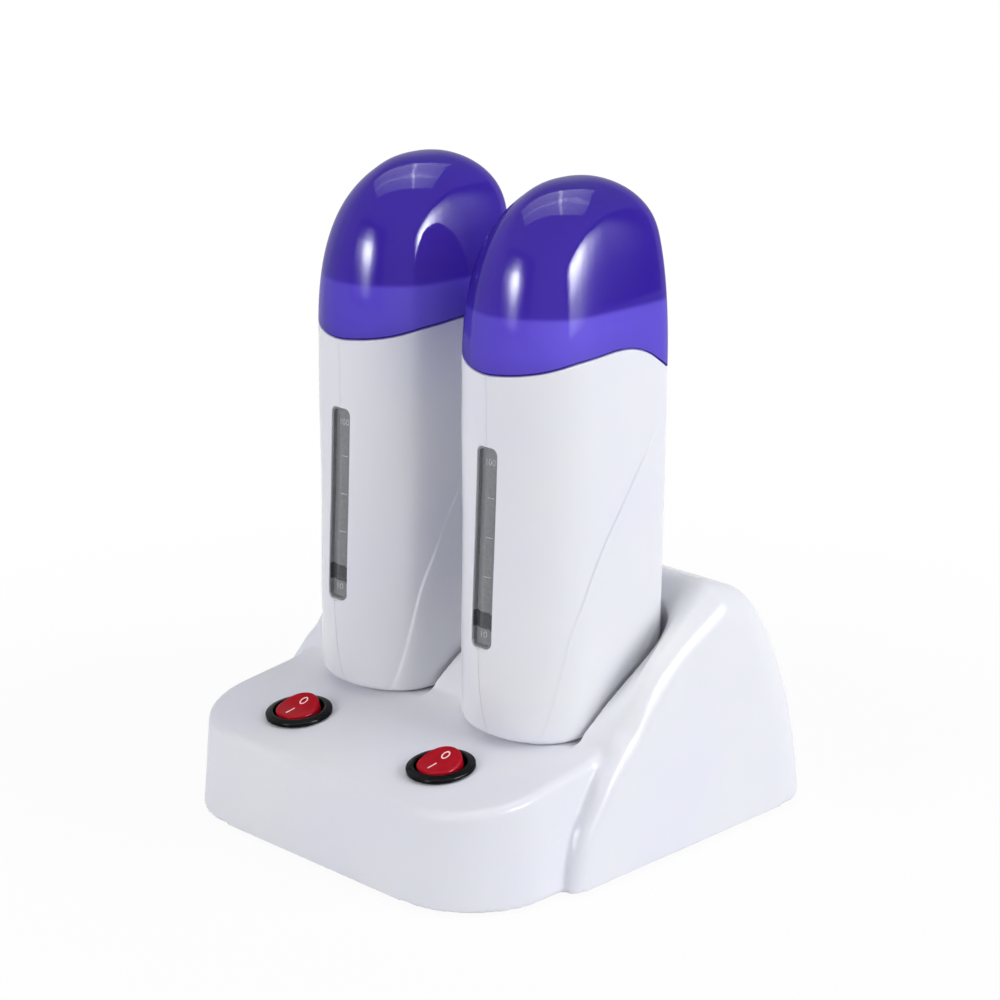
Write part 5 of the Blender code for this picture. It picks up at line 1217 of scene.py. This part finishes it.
# Heating wells and metal fittings inside: deep-drawn aluminium cups with fine upright draw
# lines, a spring steel clip, zinc plated thermostat cans and screws, and turned brass pins.
METAL_SOCKETS, METAL_RELIEF = {"Metallic": 1.0}, (0.2, 0.02 * MM)
drawn_aluminium = grained("drawn_aluminium", "#C3C6C9", "#DADCDE", 0.28, 0.42, 0.4 * MM, 2.0,
                          METAL_SOCKETS, METAL_RELIEF, stretch=0.04)
bright_spring_steel = grained("bright_spring_steel", "#A9AAAD", "#C4C5C8", 0.20, 0.34, 0.6 * MM,
                              2.0, METAL_SOCKETS, METAL_RELIEF, stretch=0.1)
zinc_plated_steel = grained("zinc_plated_steel", "#B4B7BC", "#CFD1D4", 0.26, 0.44, 0.8 * MM,
                            2.0, METAL_SOCKETS, METAL_RELIEF, stretch=1.0)
turned_brass = grained("turned_brass", "#C7A055", "#DDBB71", 0.16, 0.30, 0.5 * MM, 2.0,
                       METAL_SOCKETS, METAL_RELIEF, stretch=8.0)


# Small insulating parts: amber film round the heating element, natural nylon terminals and
# soft grey rubber feet, each with the fine mottling of its own moulding.
MOTTLE_DEPTH = 0.05 * MM
amber_film = grained("amber_film", "#B0813A", "#C79A4B", 0.25, 0.40, 2.0 * MM, 3.0,
                     {"IOR": 1.5}, (0.1, MOTTLE_DEPTH))
natural_nylon = grained("natural_nylon", "#DAD5C6", "#E6E2D6", 0.40, 0.55, 1.5 * MM, 3.0,
                        {"IOR": 1.5}, (0.15, MOTTLE_DEPTH))
grey_foot_rubber = grained("grey_foot_rubber", "#3C3D40", "#4A4B4E", 0.70, 0.88, 0.6 * MM, 3.0,
                           {"IOR": 1.5}, (0.35, MOTTLE_DEPTH))
kept = {
    "drawn_aluminium": drawn_aluminium, "spring_steel": bright_spring_steel,
    "zinc_steel": zinc_plated_steel, "brass": turned_brass, "element_case": amber_film,
    "terminal_plastic": natural_nylon, "grey_rubber": grey_foot_rubber,
    "black_plastic": gloss_black_nylon, "white_inner_plastic": satin_white_abs,
    "white_abs": moulded_white_abs, "red_plastic": red_polycarbonate,
    "violet_clear_plastic": violet_styrene, "clear_window": clear_styrene}
finish_of = {part["node"]: part["material_slot"] for part in frame["record"]["subparts"]}
for name, node in frame["nodes"].items():
    for spot in node.material_slots:
        spot.material = kept[finish_of[name]]


# Camera at the photograph's angle: a long lens, a little above the object's middle
CAMERA_PLACE = Vector((626.7, -627.2, 375.3)) * MM
CAMERA_TARGET = Vector((17.74, -14.9, 113.6)) * MM
CAMERA_LENS_MM, CAMERA_SENSOR_MM = 99.03, 36.0
camera_data = bpy.data.cameras.new("photo_camera")
camera_data.lens, camera_data.sensor_width = CAMERA_LENS_MM, CAMERA_SENSOR_MM
camera = bpy.data.objects.new("photo_camera", camera_data)
bpy.context.collection.objects.link(camera)
camera.location = CAMERA_PLACE
camera.rotation_euler = (CAMERA_TARGET - CAMERA_PLACE).to_track_quat("-Z", "Y").to_euler()
bpy.context.scene.camera = camera


# Studio: a pale floor and soft boxes. One stands in front, one to the right, and one with a
# cross of lamps hangs overhead. Each is a plain lamp for the light that it gives, and a card
# with the box's uneven glow that only gloss shows. The cards' (place, level) stops were set by
# the highlights on the caps, and the cards are brighter than the lamps, so gloss is kept low.
STUDIO_MIDDLE = Vector((0.0, 0.0, 0.2))
BOX_DISTANCE = 2.2
OVERHEAD_LAMP_PLACE, OVERHEAD_LAMP_TURN = (-0.18, 0.50, BOX_DISTANCE), math.radians(-18)
OVERHEAD_CARD_PLACE, OVERHEAD_CARD_TURN = (-0.163, 0.357, BOX_DISTANCE), math.radians(-33)
AIR_FILL = 0.10
FLOOR_RADIUS, FLOOR_THICKNESS, FLOOR_SIDES = 4.0, 2 * MM, 96
SHADOW_FROM, SHADOW_TO, NEAR_WHITE = 0.12, 0.40, 0.94


def profile_of(tree, value, stops):
    """Grey level along one side of a card, by (place, level) stops."""
    ramp = add(tree, "ValToRGB", (), {"Fac": value})
    ramp.color_ramp.interpolation = "EASE"
    while len(ramp.color_ramp.elements) < len(stops):
        ramp.color_ramp.elements.new(0.5)
    for element, (place, level) in zip(ramp.color_ramp.elements, stops):
        element.position, element.color = place, (level, level, level, 1.0)
    return ramp.outputs["Color"]


def plain_lamp(name, place, turn, size, power):
    """A lamp for the light that a soft box gives, which gloss doesn't show."""
    lamp = bpy.data.lights.new(name, "AREA")
    lamp.shape, lamp.size, lamp.size_y, lamp.energy = "RECTANGLE", size[0], size[1], power
    light = bpy.data.objects.new(name, lamp)
    light.visible_camera, light.visible_glossy = False, False
    bpy.context.collection.objects.link(light)
    light.location, light.rotation_euler = place, turn


def glow_card(name, place, turn, size, glow, across, along):
    """A card with the uneven glow of a soft box, which only gloss shows."""
    made, tree = start_material(name)
    where = add(tree, "Mapping", (), {
        "Vector": add(tree, "TexCoord").outputs["Object"], "Location": (0.5, 0.5, 0.0),
        "Scale": (1 / size[0], 1 / size[1], 1.0)})
    parts = add(tree, "SeparateXYZ", (), {"Vector": where.outputs["Vector"]})
    shape = add(tree, "VectorMath", {"operation": "MULTIPLY"}, {
        0: profile_of(tree, parts.outputs["X"], across),
        1: profile_of(tree, parts.outputs["Y"], along)})
    shine = add(tree, "Emission", (), {"Color": shape.outputs["Vector"], "Strength": glow})
    add(tree, "OutputMaterial", (), {"Surface": shine.outputs["Emission"]})
    half_x, half_y = size[0] / 2, size[1] / 2
    mesh = bpy.data.meshes.new(name)
    mesh.from_pydata([(-half_x, -half_y, 0), (half_x, -half_y, 0), (half_x, half_y, 0),
                      (-half_x, half_y, 0)], [], [(0, 1, 2, 3)])
    mesh.materials.append(made)
    card = bpy.data.objects.new(name, mesh)
    for hidden in ("camera", "diffuse", "transmission", "volume_scatter", "shadow"):
        setattr(card, "visible_" + hidden, False)
    bpy.context.collection.objects.link(card)
    card.location, card.rotation_euler = place, turn


def standing(azimuth, height_angle):
    """Place and turn of a soft box that faces the object from a direction in degrees."""
    azimuth, height_angle = math.radians(azimuth), math.radians(height_angle)
    out = Vector((math.sin(azimuth) * math.cos(height_angle),
                  -math.cos(azimuth) * math.cos(height_angle), math.sin(height_angle)))
    return STUDIO_MIDDLE + out * BOX_DISTANCE, (-out).to_track_quat("-Z", "Y").to_euler()


plain_lamp("front_lamp", *standing(-12, 17), (1.0, 1.1), 24.5)
plain_lamp("right_lamp", *standing(110, 21), (1.8, 1.4), 39)
plain_lamp("overhead_lamp", OVERHEAD_LAMP_PLACE, (0, 0, OVERHEAD_LAMP_TURN), (1.6, 2.7), 19)
glow_card("front_card", *standing(1, 17), (1.78, 1.78), 148,
          ((0.02, 0), (0.19, 0.07), (0.30, 0.2), (0.39, 0.5), (0.45, 0.9), (0.51, 1),
           (0.60, 0.7), (0.65, 0.2), (0.75, 0.03), (0.8, 0)),
          ((0.05, 0), (0.12, 0.06), (0.25, 0.17), (0.36, 0.4), (0.435, 0.71), (0.52, 1),
           (0.6, 0.9), (0.70, 0.27), (0.80, 0.08), (0.9, 0)))
glow_card("right_card", *standing(110, 14), (3.2, 1.8), 158,
          ((0.07, 0), (0.165, 0.3), (0.22, 0.9), (0.28, 1), (0.50, 0.9), (0.58, 0.55),
           (0.66, 0.24), (0.78, 0.09), (0.84, 0.035), (0.94, 0)),
          ((0, 0), (0.2, 0.1), (0.32, 0.15), (0.39, 0.24), (0.46, 0.38), (0.55, 0.56),
           (0.64, 0.8), (0.74, 1), (0.83, 0.6), (0.93, 0.0)))
glow_card("overhead_card", OVERHEAD_CARD_PLACE, (0, 0, OVERHEAD_CARD_TURN), (1.5, 2.65), 46,
          ((0, 0), (0.01, 0.5), (0.58, 0.55), (0.633, 1), (0.69, 0.55), (0.99, 0.45), (1, 0)),
          ((0, 0), (0.01, 0.2), (0.3, 0.3), (0.536, 0.36), (0.566, 1), (0.596, 0.42),
           (0.7, 0.34), (0.99, 0.2), (1, 0)))


def seen_as_backdrop(tree):
    """1 for the camera and for what gloss and clear plastic show, and 0 for all other light."""
    path = add(tree, "LightPath")
    seen = path.outputs["Is Camera Ray"]
    for ray in ("Is Glossy Ray", "Is Transmission Ray"):
        both = add(tree, "Math", {"operation": "MAXIMUM"}, {0: seen, 1: path.outputs[ray]})
        seen = both.outputs[0]
    return seen


world = bpy.data.worlds.new("studio_air")
bpy.context.scene.world = world
world.use_nodes = True
tree = world.node_tree
tree.nodes.clear()
strength = add(tree, "MapRange", (), {
    "Value": seen_as_backdrop(tree), "To Min": AIR_FILL, "To Max": 1.0})
air = add(tree, "Background", (), {"Color": (1, 1, 1, 1), "Strength": strength.outputs[0]})
add(tree, "OutputWorld", (), {"Surface": air.outputs["Background"]})

floor_mesh = turned(((FLOOR_RADIUS, -FLOOR_THICKNESS), (FLOOR_RADIUS, 0.0)), FLOOR_SIDES)
pale_floor, tree = start_material("pale_floor")
away = add(tree, "VectorMath", {"operation": "LENGTH"}, {
    0: add(tree, "TexCoord").outputs["Object"]}).outputs["Value"]
white_share = add(tree, "MapRange", {"interpolation_type": "SMOOTHSTEP"}, {
    "Value": away, "From Min": SHADOW_FROM, "From Max": SHADOW_TO,
    "To Min": NEAR_WHITE, "To Max": 1.0})
share = add(tree, "Math", {"operation": "MULTIPLY"}, {
    0: seen_as_backdrop(tree), 1: white_share.outputs[0]}).outputs[0]
paper = add(tree, "BsdfDiffuse", (), {"Color": linear("#EDEEF1")})
glow = add(tree, "Emission", (), {"Color": (1, 1, 1, 1), "Strength": 1.0})
ground = add(tree, "MixShader", (), {
    0: share, 1: paper.outputs["BSDF"], 2: glow.outputs["Emission"]})
add(tree, "OutputMaterial", (), {"Surface": ground.outputs["Shader"]})
floor_mesh.materials.append(pale_floor)
floor = bpy.data.objects.new("studio_floor", floor_mesh)
bpy.context.collection.objects.link(floor)
bpy.context.scene.view_settings.view_transform = "Standard"
